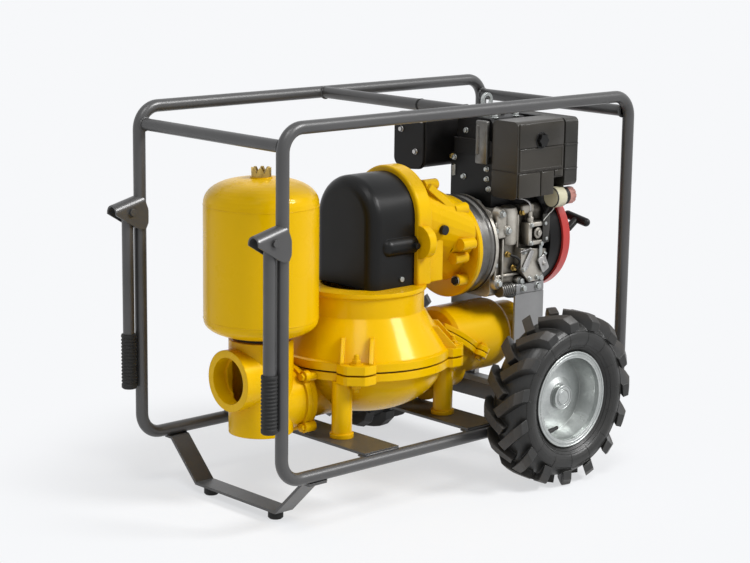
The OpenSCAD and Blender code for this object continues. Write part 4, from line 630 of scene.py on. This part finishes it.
class Piece:
    """One piece of the model: shapes are set on it, then it is made."""

    def __init__(self, name, finish, slot=None, body="chassis"):
        self.name, self.finish, self.slot, self.body = name, finish, slot or finish, body
        self.bm = bmesh.new()

    def set(self, part, point, direction=UP, turn=0.0):
        """Add a shape, stood on a point."""
        bmesh.ops.transform(part, matrix=stand(point, direction, turn), verts=part.verts)
        carrier = bpy.data.meshes.new("carrier")
        part.to_mesh(carrier)
        part.free()
        self.bm.from_mesh(carrier)
        bpy.data.meshes.remove(carrier)
        return self

    def bolt(self, point, direction, across, height):
        """Add a hexagon on a washer."""
        self.set(disc(across * WASHER_SHARE, WASHER_THICK), point, direction)
        base = Vector(point) + Vector(direction).normalized() * WASHER_SEAT
        return self.set(hexagon(across, height), base, direction)

    def press_flat(self, top):
        """Flatten what stands above a height, in metres."""
        for vert in self.bm.verts:
            vert.co.z = min(vert.co.z, top)
        return self

    def make(self, ride=True):
        """Turn the shapes into one object with its finish, riding on its body if asked."""
        bmesh.ops.remove_doubles(self.bm, verts=self.bm.verts, dist=MERGE_PIECE)
        bmesh.ops.recalc_face_normals(self.bm, faces=self.bm.faces)
        mesh = bpy.data.meshes.new(self.name)
        self.bm.to_mesh(mesh)
        self.bm.free()
        mesh.shade_smooth()
        mesh.set_sharp_from_angle(angle=math.radians(SHARP_EDGE))
        made = link(self.name, mesh, self.finish)
        if ride:
            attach(made, self.body)
        return made


def pipes(name, runs, radius, finish, slot=None, body="chassis", closed=False, smooth=True):
    """Round pipes or wires through points in mm, one run each."""
    curve = bpy.data.curves.new(name, "CURVE")
    curve.dimensions = "3D"
    curve.bevel_depth = radius * MM
    curve.bevel_resolution = 3
    curve.resolution_u = 6
    curve.use_fill_caps = not closed
    for run in runs:
        spline = curve.splines.new("BEZIER" if smooth else "POLY")
        knots = spline.bezier_points if smooth else spline.points
        knots.add(len(run) - 1)
        for knot, point in zip(knots, run):
            knot.co = at(*point) if smooth else (*at(*point), 1.0)
            if smooth:
                knot.handle_left_type = knot.handle_right_type = "AUTO"
        spline.use_cyclic_u = closed
    made = link(name, curve, finish)
    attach(made, body)
    slot = slot or finish
    return made


def turned(name, finish, profile, steps, point, direction=UP, slot=None, body="chassis"):
    """Piece of one turned shape."""
    return Piece(name, finish, slot, body).set(lathe(profile, steps), point, direction).make()


# Trolley and pump


def build_welds(trim):
    thick = trim.bead / MM
    bar_half = 50
    welds = Piece("trolley_welds", "frame_paint")
    for side in (NEAR, FAR):
        for x, z in ((7, 708), (LIFT_BAR_X, LIFT_BAR_Z), (1068, 708)):
            welds.set(ring(13.8, thick, 72, 8, 34), (x, side * 231.8, z), TO_FAR)
        for x in (287, 603, 895):
            welds.set(bead(2 * bar_half, thick), (x - bar_half, side * 246.5, 15.2), RIGHT)
            for edge in (-bar_half, bar_half):
                welds.set(bead(22, thick), (x + edge, side * 233 - 10, 12.0), TO_FAR)
        for x in (70, 120):
            welds.set(bead(18, thick), (x, side * HOOP_Y - 9, -14.5), TO_FAR)
        welds.set(bead(84, thick), (728, side * 232.5, 10.5), RIGHT)
        for cheek in (-1, 1):
            welds.set(bead(36, thick * 0.8), (10.5, side * HOOP_Y + cheek * 14.6, 486), UP)
    welds.press_flat(CAD_TOP).make()
    strap = Piece("lift_bar_tie", "black_plastic")
    band = [(13.6, -2.2), (14.8, -2.2), (14.8, 2.2), (13.6, 2.2), (13.6, -2.2)]
    strap.set(lathe(band), (LIFT_BAR_X, -92, LIFT_BAR_Z), TO_FAR)
    strap.set(block((7, 5, 6), 1.0), (LIFT_BAR_X, -92, LIFT_BAR_Z - 16.5))
    strap.press_flat(CAD_TOP).make()


def wall_out(radius):
    """How far the tyre's wall stands from the wheel's middle plane at a radius."""
    return TYRE_HALF * math.sqrt(max(0.0, 1 - ((radius - TYRE_MID_R) / TYRE_DEPTH) ** 2))


def build_wheels(trim):
    stem = [(0, 0), (7.5, 0), (7, 5), (5.2, 8), (5.0, 22), (4.2, 23), (4.2, 33), (3.4, 35), (0, 35)]
    for side, label in ((NEAR, "near"), (FAR, "far")):
        body, tyre, out = f"{label}_wheel", f"{label}_tyre", Vector((0, side, 0))
        beads = Piece(f"{label}_rim_beads", "zinc", body=body)
        for radius, depth, thick in ((110.2, 39.6, 2.6), (103.0, 39.4, 1.8), (110.2, -39.6, 2.6),
                                     (27.2, 15.2, 1.3), (19.0, 15.0, 1.3)):
            beads.set(ring(radius, thick), (WHEEL_X, side * (WHEEL_Y + depth), WHEEL_Z), out)
        beads.set(disc(17.0, 2.0, 1.2), (WHEEL_X, side * (WHEEL_Y + 14.6), WHEEL_Z), out)
        beads.make()
        lines = Piece(f"{label}_tyre_rings", tyre, "tyre", body)
        for face in (-1, 1):
            for radius, thick in ((116.5, 1.5), (121.5, 0.9), (128.0, 0.7), (161.0, 0.9)):
                y = side * WHEEL_Y + face * wall_out(radius)
                lines.set(ring(radius, thick, 96, 8), (WHEEL_X, y, WHEEL_Z), TO_FAR)
        lines.make()
        runs = []
        for i in range(2 * trim.lug_count):
            turn = 2 * math.pi * (i + 0.3) / (2 * trim.lug_count)
            face = 1 if i % 2 else -1
            runs.append([(WHEEL_X + r * math.cos(turn), side * WHEEL_Y + face * (wall_out(r) + 0.1),
                          WHEEL_Z + r * math.sin(turn)) for r in (124, 132, 140, 148, 156, 163)])
        pipes(f"{label}_tyre_lines", runs, 0.6, tyre, "tyre", body, smooth=False)
        turned(f"{label}_valve_stem", "rubber", stem, 20, (706, side * 346, 2), (34, side * 6, 10), body=body)


def build_pump_trim():
    seams = Piece("vessel_seams", "pump_paint")
    for z in (VESSEL_Z - 1, VESSEL_Z + 250):
        seams.set(ring(VESSEL_R - 0.8, 1.4, 96, 8, 110), (VESSEL_X, 0, z))
    seams.make()
    # Dark gasket ring at the vessel's foot, partly painted shade in the gap under the vessel
    turned("vessel_gasket_and_shade", "gasket", collar(60.2, 61.5, 13), 64, (VESSEL_X, 0, 249), slot="rubber")
    washers = Piece("flange_washers", "pump_paint")
    for dx, y in around(4, EAR_R, 45):
        x = PUMP_X + dx
        washers.set(disc(16, 2.6), (x, y, JOINT_Z + 21.6))
        washers.set(disc(16, 2.6), (x, y, JOINT_Z - 21.6), DOWN)
        washers.set(disc(5.4, 3.5, 1.2, 20), (x, y, JOINT_Z + 40.8))
    washers.make()
    nuts = Piece("leg_nuts", "zinc")
    for dx in (-158, 158):
        for y in (-112, 112):
            nuts.bolt((PUMP_X + dx, y, 14), DOWN, 22, 10)
    nuts.make()


def build_diaphragm():
    """Rolled rubber diaphragm: the rim's lip lies over the middle, which goes with the plates."""
    rim = [(200, 2), (176, 2), (168, 6), (158, 13), (146, 18), (132, 20.5), (126, 21),
           (126, 18.8), (132, 18.3), (146, 14), (158, 9), (168, 2), (176, -2), (200, -2)]
    middle = [(130, 14.6), (126, 16), (106, 23.2), (102, 24), (26, 24),
              (26, 20), (102, 20), (106, 19.2), (126, 12), (130, 10.6)]
    for name, body, outline in (("diaphragm_rubber", "chassis", rim), ("diaphragm_middle", "rod", middle)):
        closed = outline + outline[:1]
        rubber = turned(name, "rubber", closed, 72, (PUMP_X, 0, JOINT_Z), body=body)
        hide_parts("diaphragm")


def build_gearbox_trim():
    turned("engine_seal", "gasket", collar(100, 119.4, 2.4), 96, (ENGINE_X - 1.2, 0, SHAFT_Z), RIGHT, "rubber")
    studs = Piece("engine_flange_nuts", "zinc")
    for y, dz in around(8, 108, 22.5):
        z = SHAFT_Z + dz
        if abs(y) > 92 or z > 470:  # the crankcase covers the others
            studs.bolt((774, y, z), RIGHT, 15, 8)
    studs.make()
    rim = [(9.6, 0), (12.4, 0), (12.4, 1.4), (11.6, 2.2), (9.6, 2.2), (9.6, 0)]
    turned("drain_ring", "steel", rim, 40, (671.8, -78, 321), LEFT)


def build_rope(trim):
    pull = Vector((math.cos(ROPE_SLOPE), 0, math.sin(ROPE_SLOPE)))
    mouth = ROPE_MOUTH
    radius, start, end = trim.rope / MM, -13.0, 17.0
    count = 60
    profile = [(0.0, start)]
    for i in range(count + 1):
        strand = radius * (0.96 + 0.05 * math.sin(i * 1.9))
        profile.append((strand, start + (end - start) * i / count))
    profile.append((0.0, end))
    rope = Piece("starter_rope", "rope")
    rope.set(lathe(profile, 14), mouth, pull)
    made = rope.make(ride=False)
    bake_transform(made)
    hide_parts("recoil_rope")
    lip = [(5.0, -0.6), (9.4, -0.6), (9.4, 2.0), (8.2, 3.2), (6.2, 3.2), (5.0, 1.8), (5.0, -0.6)]
    turned("rope_ferrule", "black_plastic", lip, 40, mouth, RIGHT)


# Engine

# Bosses of the near face: x, z, radius, height and the size of the bolt on each
CASE_BOSSES = ((795, 470, 13, 15, 12), (814, 428, 12, 17, 12), (790, 302, 14, 12, 13), (866, 300, 13, 12, 13),
               (934, 300, 13, 12, 13))


def near_castings(face):
    """Cast forms of the crankcase's near face, and the fuel pump's body."""
    cast = Piece("case_castings", "engine_alloy")
    barrel = [(0, 0), (22, 0), (24, 8), (24, 78), (21, 88), (12, 93), (0, 94)]
    cast.set(lathe(barrel, 32), (834, face + 6, 392))
    cast.set(block((34, 20, 62), 7, 3), (798, face - 4, 440))
    for x, z, r, h, _size in CASE_BOSSES:
        boss = [(0, -4), (r + 3, -4), (r, h - 3), (r - 1.5, h), (0, h)]
        cast.set(lathe(boss, 28), (x, face, z), TO_NEAR)
    for x, low, high in ((781, 300, 450), (806, 300, 408), (856, 380, 462)):
        cast.set(block((6, 14, high - low), 2.4), (x, face - 3, (low + high) / 2))
    cast.set(block((150, 12, 7), 2.5), (856, face - 2, 318))
    cast.set(block((40, 26, 24), 6, 3), (884, face - 4, 473))
    cast.make()

    pump = Piece("fuel_pump_body", "engine_alloy")
    pump.set(pressed((64, 56, 30), 4, 9, 13), (905, face - 14, 414), TO_NEAR, math.pi)
    plunger = [(0, 0), (14, 0), (14, 9), (12, 11), (7, 11), (7, 15), (0, 15)]
    pump.set(lathe(plunger, 28), (910, face - 16, 414), TO_NEAR)
    union = [(0, 0), (9, 0), (9, 12), (6.5, 14), (6.5, 26), (0, 26)]
    pump.set(lathe(union, 20), (890, face - 15, 441))
    pump.make()


def near_bolts(face):
    """Bolts of the near castings, the governor cover, the head and the rocker cover."""
    bolts = Piece("engine_bolts", "zinc")
    on_bosses = [(x, z, h, size) for x, z, _r, h, size in CASE_BOSSES]
    on_pump = [(x, z, 29, 8) for x, z in ((882, 392), (932, 399), (928, 436), (882, 436))]
    for x, z, out, size in on_bosses + on_pump:
        bolts.bolt((x, face - out, z), TO_NEAR, size, size * 0.45)
    for dx, dz, size in ((101, -16, 9), (174.5, -28, 6.5), (172, -54, 9), (149, -84, 9),
                         (122, -84, 9), (100, -59, 9)):
        bolts.bolt((ENGINE_X + dx, face - 24, SHAFT_Z + dz), TO_NEAR, size, size / 2)
    for y, z in ((-52, 571), (-53, 547), (-60, 524), (24, 545), (56, 588)):
        bolts.bolt((795, y, z), LEFT, 10, 5)
    for x in (826, 898):
        for y in (-45, 45):
            bolts.bolt((x, y, 690), UP, 12, 6)
    bolts.bolt((804, 28, 655), LEFT, 10, 5)
    bolts.make()


def near_controls(face, hose):
    """Plates, springs, pipes and hoses of the near side."""
    plate = Piece("control_plates", "steel")
    plate.set(slab(rounded(40, 26, 5), 2.2), (926, face - 29.4, 338), TO_NEAR, math.radians(118))
    lever = [(-7, -26), (7, -26), (9, 20), (4, 30), (-4, 30), (-9, 20)]
    plate.set(slab(lever, 2.4), (877, face - 25.0, 352), TO_NEAR, 2.6)
    plate.bolt((926, face - 31.6, 338), TO_NEAR, 8, 4)
    plate.make()
    sheet = Piece("fan_side_sheet", "tank_plastic")
    sheet.set(block((24, 2.4, 70), 1.0), (932, face - 30, 424)).make()
    spring = coil((846, face - 28, 374), (882, face - 30, 379), 3.6, 11)
    pipes("governor_springs", [spring], 0.7, "steel", smooth=False)
    pipes("injector_pipe", [[(890, face - 15, 466), (890, face - 15, 482), (884, face - 8, 493),
                             (872, face + 6, 497), (862, -66, 494)]], 3.0, "steel")
    from_tank = [(976, -66, 522), (972, -84, 506), (958, -104, 488), (940, -116, 470),
                 (930, -116, 452), (926, -114, 440)]
    below = [(800, face - 8, 280), (824, face - 14, 268), (852, face - 12, 272), (872, face - 6, 290)]
    pipes("fuel_hoses", [from_tank, below], hose, "rubber")
    pipes("stop_wire", [[(921, face - 31, 444), (933, -126, 456), (948, -131, 472),
                         (958, -128, 488), (962, -120, 502)]], 1.1, "wire", "cap_plastic")
    head = Piece("head_casting", "adapter_alloy", "engine_alloy")
    head.set(block((12, 38, 104), 4), (789, -41, 634))
    head.set(block((5, 8, 70), 2), (782.5, -30, 640))
    head.make()
    spring = coil((792, 56, 544), (792, 56, 570), 3.4, 9)
    pipes("stop_spring", [spring], 0.8, "wire", "steel", smooth=False)
    brass = Piece("banjo_bolts", "brass")
    brass.bolt((795, 64, 590), LEFT, 9, 5)
    for x, z in ((821, 369), (843, 334), (868, 466)):
        brass.bolt((x, face - 8, z), TO_NEAR, 11, 7)
    brass.make()
    pipes("return_hose", [[(821, face - 20, 369), (836, face - 28, 362), (846, face - 27, 350),
                           (843, face - 20, 334)]], hose * 0.7, "rubber")
    fins = [(0, 0)]
    for i in range(6):
        fins += [(17, 7 * i), (17, 7 * i + 4.0), (13.0, 7 * i + 4.5), (13.0, 7 * i + 6.5)]
    fins += [(16, 43), (0, 43)]
    turned("finned_oil_case", "adapter_alloy", fins, 28, (797, face - 6, 284), RIGHT, "engine_alloy")


def build_engine_near(trim):
    near_castings(-CASE_Y)
    near_bolts(-CASE_Y)
    near_controls(-CASE_Y, trim.hose / MM)


def build_engine_top():
    lid = Piece("filter_lid", "filter_plastic")
    lid.set(pressed((150, 54, 5), 2.0, 3.0, 0.8), (876, -FILTER_Y - 0.4, 600), TO_NEAR, math.pi)
    lid.set(block((152, 4.5, 58), 2.0), (876, -FILTER_Y - 0.2, 657))
    for x0, x1, low, high in ((799, 873, 511, 569), (875.5, 920, 511, 569), (922, 952, 555, 569)):
        middle = ((x0 + x1) / 2, -FILTER_Y - 0.6, (low + high) / 2)
        lid.set(block((x1 - x0, 7, high - low), 2.4), middle)
    lid.make()
    dish = [(0, 0), (20, 0), (20, 1.2), (17.5, 2.6), (17.0, 0.6), (0, 0.6)]
    turned("knob_recess", "black_plastic", dish, 36, (874, -FILTER_Y - 1.6, 644), TO_NEAR)
    pipes("filter_seams", [loop(875, -109, 572, 161, 83, 6)], 1.3, "gasket", "rubber", closed=True)
    bands = [loop(983, -20, z, 45.5, 261.5, 5) for z in (568, 627)]
    pipes("tank_bands", bands, 2.2, "tank_plastic", closed=True)
    bowl = [(0, -0.6), (22, -0.6), (25.6, 3), (25.6, 31), (23.5, 34.4), (0, 34.4)]
    turned("filler_cup", "cup_plastic", bowl, 40, (937, FILLER_Y, FILLER_Z), RIGHT, "cap_plastic")
    ribs = [(12.2, 0), (21.6, 0), (22.4, 2), (21.6, 4), (21.6, 7), (22.4, 9), (21.6, 11),
            (21.6, 13.6), (12.2, 13.6), (12.2, 0)]
    turned("filler_ring", "black_plastic", ribs, 40, (971.2, FILLER_Y, FILLER_Z), RIGHT)
    seams = [loop(x, 145, 625, 101.5, 131.5, 22, upright=True) for x in (732, 898)]
    pipes("silencer_seams", seams, 2.4, "engine_black", closed=True)
    guard = Piece("silencer_guard", "engine_black")
    for i in range(6):
        guard.set(block((128, 5, 9), 2.2), (815, 196, 578 + 19 * i))
    guard.set(lathe(collar(16, 28, 7), 32), (862, 68, 618), TO_FAR)
    guard.make()
    clamp = Piece("silencer_nuts", "steel")
    for dx in (-24, 24):
        clamp.bolt((862 + dx, 68, 618), TO_FAR, 12, 8)
    clamp.bolt((725, 120, 600), LEFT, 10, 5)
    clamp.bolt((725, 170, 650), LEFT, 10, 5)
    clamp.set(block((2.5, 64, 10), 0.8), (724, 128, 676))
    clamp.make()
    pipes("rocker_seam", [loop(862, 0, 636, 117, 117, 10)], 1.3, "gasket", "rubber", closed=True)
    grip = [(0, 0), (15, 0), (15, 9), (13, 12), (5, 12.5), (5, 17), (3, 19), (0, 19)]
    turned("oil_cap", "black_plastic", grip, 28, (893, 8, 690))
    rings = Piece("starter_rings", "starter_red")
    for radius, thick in ((52, 1.8), (112, 1.8), (126, 2.2)):
        rings.set(ring(radius, thick, 72), (STARTER_FACE_X - 0.4, 0, SHAFT_Z), RIGHT)
    rings.make()
    bolts = Piece("starter_bolts", "zinc")
    for y, dz in around(6, 119, 15):
        bolts.bolt((STARTER_FACE_X, y, SHAFT_Z + dz), RIGHT, 9, 4.5)
    bolts.bolt((STARTER_FACE_X, 0, SHAFT_Z), RIGHT, 12, 6)
    bolts.make()


def build_engine_far():
    cast = Piece("far_case_castings", "engine_alloy")
    cover = [(0, 0), (66, 0), (66, 5), (62, 8), (40, 9), (36, 14), (0, 15)]
    cast.set(lathe(cover, 56), (FAR_COVER_X, CASE_Y - 1, FAR_COVER_Z), TO_FAR)
    for x, low, high in ((784, 300, 455), (938, 300, 455)):
        cast.set(block((7, 14, high - low), 2.4), (x, CASE_Y + 3, (low + high) / 2))
    cast.set(block((150, 12, 7), 2.5), (860, CASE_Y + 2, 298))
    boss = [(0, 0), (15, 0), (15, 16), (12, 19), (0, 19)]
    cast.set(lathe(boss, 28), (800, CASE_Y, 440), TO_FAR)
    cast.make()
    feet = Piece("engine_feet", "sheet_grey")
    for side in (NEAR, FAR):
        feet.set(block((98, 18, 25), 3), (895, side * 101, 281))
    feet.make()
    bolts = Piece("far_case_bolts", "zinc")
    for dx, dz in around(6, 55):
        bolts.bolt((FAR_COVER_X + dx, CASE_Y + 7, FAR_COVER_Z + dz), TO_FAR, 10, 5)
    for side in (NEAR, FAR):
        for x in (870, 920):
            bolts.bolt((x, side * 78, 263), DOWN, 14, 7)
            bolts.bolt((x, side * 110, 282), (0, side, 0), 13, 6)
        for x in (853, 937):
            bolts.bolt((x, side * 128, 25), UP, 13, 7)
    bolts.make()
    knob = [(0, 0), (9, 0), (9, 6), (5, 9), (5, 26), (8, 30), (8, 34), (0, 35)]
    turned("dip_stick", "black_plastic", knob, 24, (800, CASE_Y + 18, 440), TO_FAR)


# Stage

KEY_PLACE, KEY_WIDTH = (1.5, -2.2, 2.2), 17
TOP_PLACE, TOP_WIDTH = (-1.0, -1.0, 2.6), 22
EVEN_LIGHT = (0.97, 0.985, 1.0, 1.0)
FLOOR_RADIUS = 9.0
FADE_START, FADE_END, FADE_LEAST = 0.5, 1.0, 0.66
# The photograph's view: turn, tilt and roll in degrees, and the camera's place in mm
VIEW_TURN, VIEW_TILT, VIEW_ROLL = 42.84, 11.51, 0.76
VIEW_PLACE = (-2584.3, -3311.5, 1250.1)
SENSOR_WIDTH = 36.0


def seen_rays(tree):
    """1 for what the camera sees straight, mirrored or through glass."""
    path = add_node(tree, "LightPath").outputs
    seen = maths(tree, "MAXIMUM", path["Is Camera Ray"], path["Is Glossy Ray"])
    return maths(tree, "MAXIMUM", seen, path["Is Transmission Ray"])


def mix_to_output(tree, kind, share, first, second):
    """Output of a kind that shows two shaders, mixed by share."""
    mix = add_node(tree, "MixShader")
    for socket, value in zip(mix.inputs, (share, first.outputs[0], second.outputs[0])):
        plug(tree, socket, value)
    plug(tree, add_node(tree, kind).inputs["Surface"], mix.outputs[0])


def backdrop(paper):
    """Paper floor: catches the object's shadow near it and fades into the background."""
    material = bpy.data.materials.new("paper_floor")
    material.use_nodes = True
    tree = material.node_tree
    tree.nodes.clear()
    far_off = add_node(tree, "VectorMath", {"operation": "LENGTH"}, Vector=object_point(tree)).outputs["Value"]
    fade = add_node(tree, "MapRange", {"interpolation_type": "SMOOTHSTEP"}, Value=far_off,
                    From_Min=FADE_START, From_Max=FADE_END, To_Min=FADE_LEAST).outputs[0]
    lit = add_node(tree, "BsdfDiffuse", Color=paper)
    plain = add_node(tree, "Emission", Color=paper)
    share = maths(tree, "MULTIPLY", fade, seen_rays(tree))
    mix_to_output(tree, "OutputMaterial", share, lit, plain)
    return material


def soft_lamp(name, strength, width, place):
    """Even lamp that shines from place to the middle of the floor, its width in degrees."""
    data = bpy.data.lights.new(name, "SUN")
    data.energy, data.angle = strength, math.radians(width)
    lamp = bpy.data.objects.new(name, data)
    lamp.location = place
    lamp.rotation_euler = (-Vector(place)).to_track_quat("-Z", "Y").to_euler()
    bpy.context.scene.collection.objects.link(lamp)


def place_camera(scene, lens):
    """Camera at the photograph's view."""
    turn, tilt, roll = (math.radians(angle) for angle in (VIEW_TURN, VIEW_TILT, VIEW_ROLL))
    ahead = Vector((math.sin(turn) * math.cos(tilt), math.cos(turn) * math.cos(tilt), -math.sin(tilt)))
    right = Vector((math.cos(turn), -math.sin(turn), 0))
    up = right.cross(ahead)
    side = right * math.cos(roll) + up * math.sin(roll)
    top = up * math.cos(roll) - right * math.sin(roll)
    data = bpy.data.cameras.new("camera")
    data.sensor_width, data.sensor_fit, data.lens = SENSOR_WIDTH, "HORIZONTAL", lens
    camera = bpy.data.objects.new("camera", data)
    camera.matrix_world = Matrix((side, top, -ahead)).transposed().to_4x4()
    camera.location = at(*VIEW_PLACE)
    scene.collection.objects.link(camera)
    scene.camera = camera


def build_stage(stage):
    scene = bpy.context.scene
    scene.view_settings.view_transform = "Standard"
    colour = (*stage.paper, 1.0)
    world = bpy.data.worlds.new("studio")
    scene.world = world
    world.use_nodes = True
    tree = world.node_tree
    tree.nodes.clear()
    even = add_node(tree, "Background", Color=EVEN_LIGHT, Strength=stage.world)
    paper = add_node(tree, "Background", Color=colour, Strength=1.0)
    mix_to_output(tree, "OutputWorld", seen_rays(tree), even, paper)

    sheet = bmesh.new()
    bmesh.ops.create_circle(sheet, cap_ends=True, segments=64, radius=FLOOR_RADIUS)
    mesh = bpy.data.meshes.new("floor")
    sheet.to_mesh(mesh)
    sheet.free()
    mesh.materials.append(backdrop(colour))
    floor = bpy.data.objects.new("floor", mesh)
    scene.collection.objects.link(floor)

    soft_lamp("key_lamp", stage.key, KEY_WIDTH, KEY_PLACE)
    soft_lamp("top_lamp", stage.top, TOP_WIDTH, TOP_PLACE)
    place_camera(scene, stage.lens)


# Operators


class PUMP_OT_stage(Operator):
    """Floor, lamps, world and camera"""
    bl_idname = "pump.stage"
    bl_label = "Stage"

    def execute(self, context):
        build_stage(context.scene.pump_stage)
        return {"FINISHED"}


class PUMP_OT_finishes(Operator):
    """Shared node groups, materials, and the finish of every carried-over part"""
    bl_idname = "pump.finishes"
    bl_label = "Finishes"

    def execute(self, context):
        build_finishes(context.scene.pump_colours)
        paint_nodes()
        return {"FINISHED"}


class PUMP_OT_welds(Operator):
    """Weld beads of the tube trolley, and the tie on its lift bar"""
    bl_idname = "pump.welds"
    bl_label = "Trolley welds"

    def execute(self, context):
        build_welds(context.scene.pump_trim)
        return {"FINISHED"}


class PUMP_OT_wheels(Operator):
    """Rim beads, hub rings, valve stems and the tyres' mould lines"""
    bl_idname = "pump.wheels"
    bl_label = "Wheel trim"

    def execute(self, context):
        build_wheels(context.scene.pump_trim)
        return {"FINISHED"}


class PUMP_OT_pump_trim(Operator):
    """Seams, washers and nuts of the pump castings and the vessel"""
    bl_idname = "pump.pump_trim"
    bl_label = "Pump trim"

    def execute(self, context):
        build_pump_trim()
        return {"FINISHED"}


class PUMP_OT_diaphragm(Operator):
    """Rolled rubber diaphragm"""
    bl_idname = "pump.diaphragm"
    bl_label = "Diaphragm"

    def execute(self, context):
        build_diaphragm()
        return {"FINISHED"}


class PUMP_OT_gearbox_trim(Operator):
    """Seal and nuts of the engine flange, and the drain plug's ring"""
    bl_idname = "pump.gearbox_trim"
    bl_label = "Gearbox trim"

    def execute(self, context):
        build_gearbox_trim()
        return {"FINISHED"}


class PUMP_OT_engine_near(Operator):
    """Castings, bolts, fuel gear and controls on the engine's near side"""
    bl_idname = "pump.engine_near"
    bl_label = "Engine near side"

    def execute(self, context):
        build_engine_near(context.scene.pump_trim)
        return {"FINISHED"}


class PUMP_OT_engine_top(Operator):
    """Filter lid, tank bands, filler, silencer seams and starter rings"""
    bl_idname = "pump.engine_top"
    bl_label = "Engine top"

    def execute(self, context):
        build_engine_top()
        return {"FINISHED"}


class PUMP_OT_engine_far(Operator):
    """Covers and fittings on the engine's far side and its feet"""
    bl_idname = "pump.engine_far"
    bl_label = "Engine far side"

    def execute(self, context):
        build_engine_far()
        return {"FINISHED"}


class PUMP_OT_rope(Operator):
    """Braided starter rope between the cover's mouth and the handle"""
    bl_idname = "pump.rope"
    bl_label = "Starter rope"

    def execute(self, context):
        build_rope(context.scene.pump_trim)
        return {"FINISHED"}


STEPS = [
    PUMP_OT_stage,
    PUMP_OT_finishes,
    PUMP_OT_welds,
    PUMP_OT_wheels,
    PUMP_OT_pump_trim,
    PUMP_OT_diaphragm,
    PUMP_OT_gearbox_trim,
    PUMP_OT_engine_near,
    PUMP_OT_engine_top,
    PUMP_OT_engine_far,
    PUMP_OT_rope,
]


class PUMP_PT_sidebar(Panel):
    """Lists the building steps and their values"""
    bl_idname = "PUMP_PT_sidebar"
    bl_label = "Trolley pump"
    bl_space_type = "VIEW_3D"
    bl_region_type = "UI"
    bl_category = "Pump"

    def draw(self, context):
        scene = context.scene
        for made in STEPS:
            self.layout.operator(made.bl_idname)
        for group in (scene.pump_colours, scene.pump_trim, scene.pump_stage):
            for name in group.__annotations__:
                self.layout.prop(group, name)


GROUP_PROPS = {"pump_colours": PumpColours, "pump_trim": PumpTrim, "pump_stage": PumpStage}
CLASSES = [*GROUP_PROPS.values(), *STEPS, PUMP_PT_sidebar]


def register():
    for made in CLASSES:
        bpy.utils.register_class(made)
    for name, kind in GROUP_PROPS.items():
        setattr(bpy.types.Scene, name, PointerProperty(type=kind))


def unregister():
    for name in GROUP_PROPS:
        delattr(bpy.types.Scene, name)
    for made in reversed(CLASSES):
        bpy.utils.unregister_class(made)


def main():
    register()
    for made in STEPS:
        getattr(bpy.ops.pump, made.bl_idname.split(".")[1])()


if __name__ == "__main__":
    main()
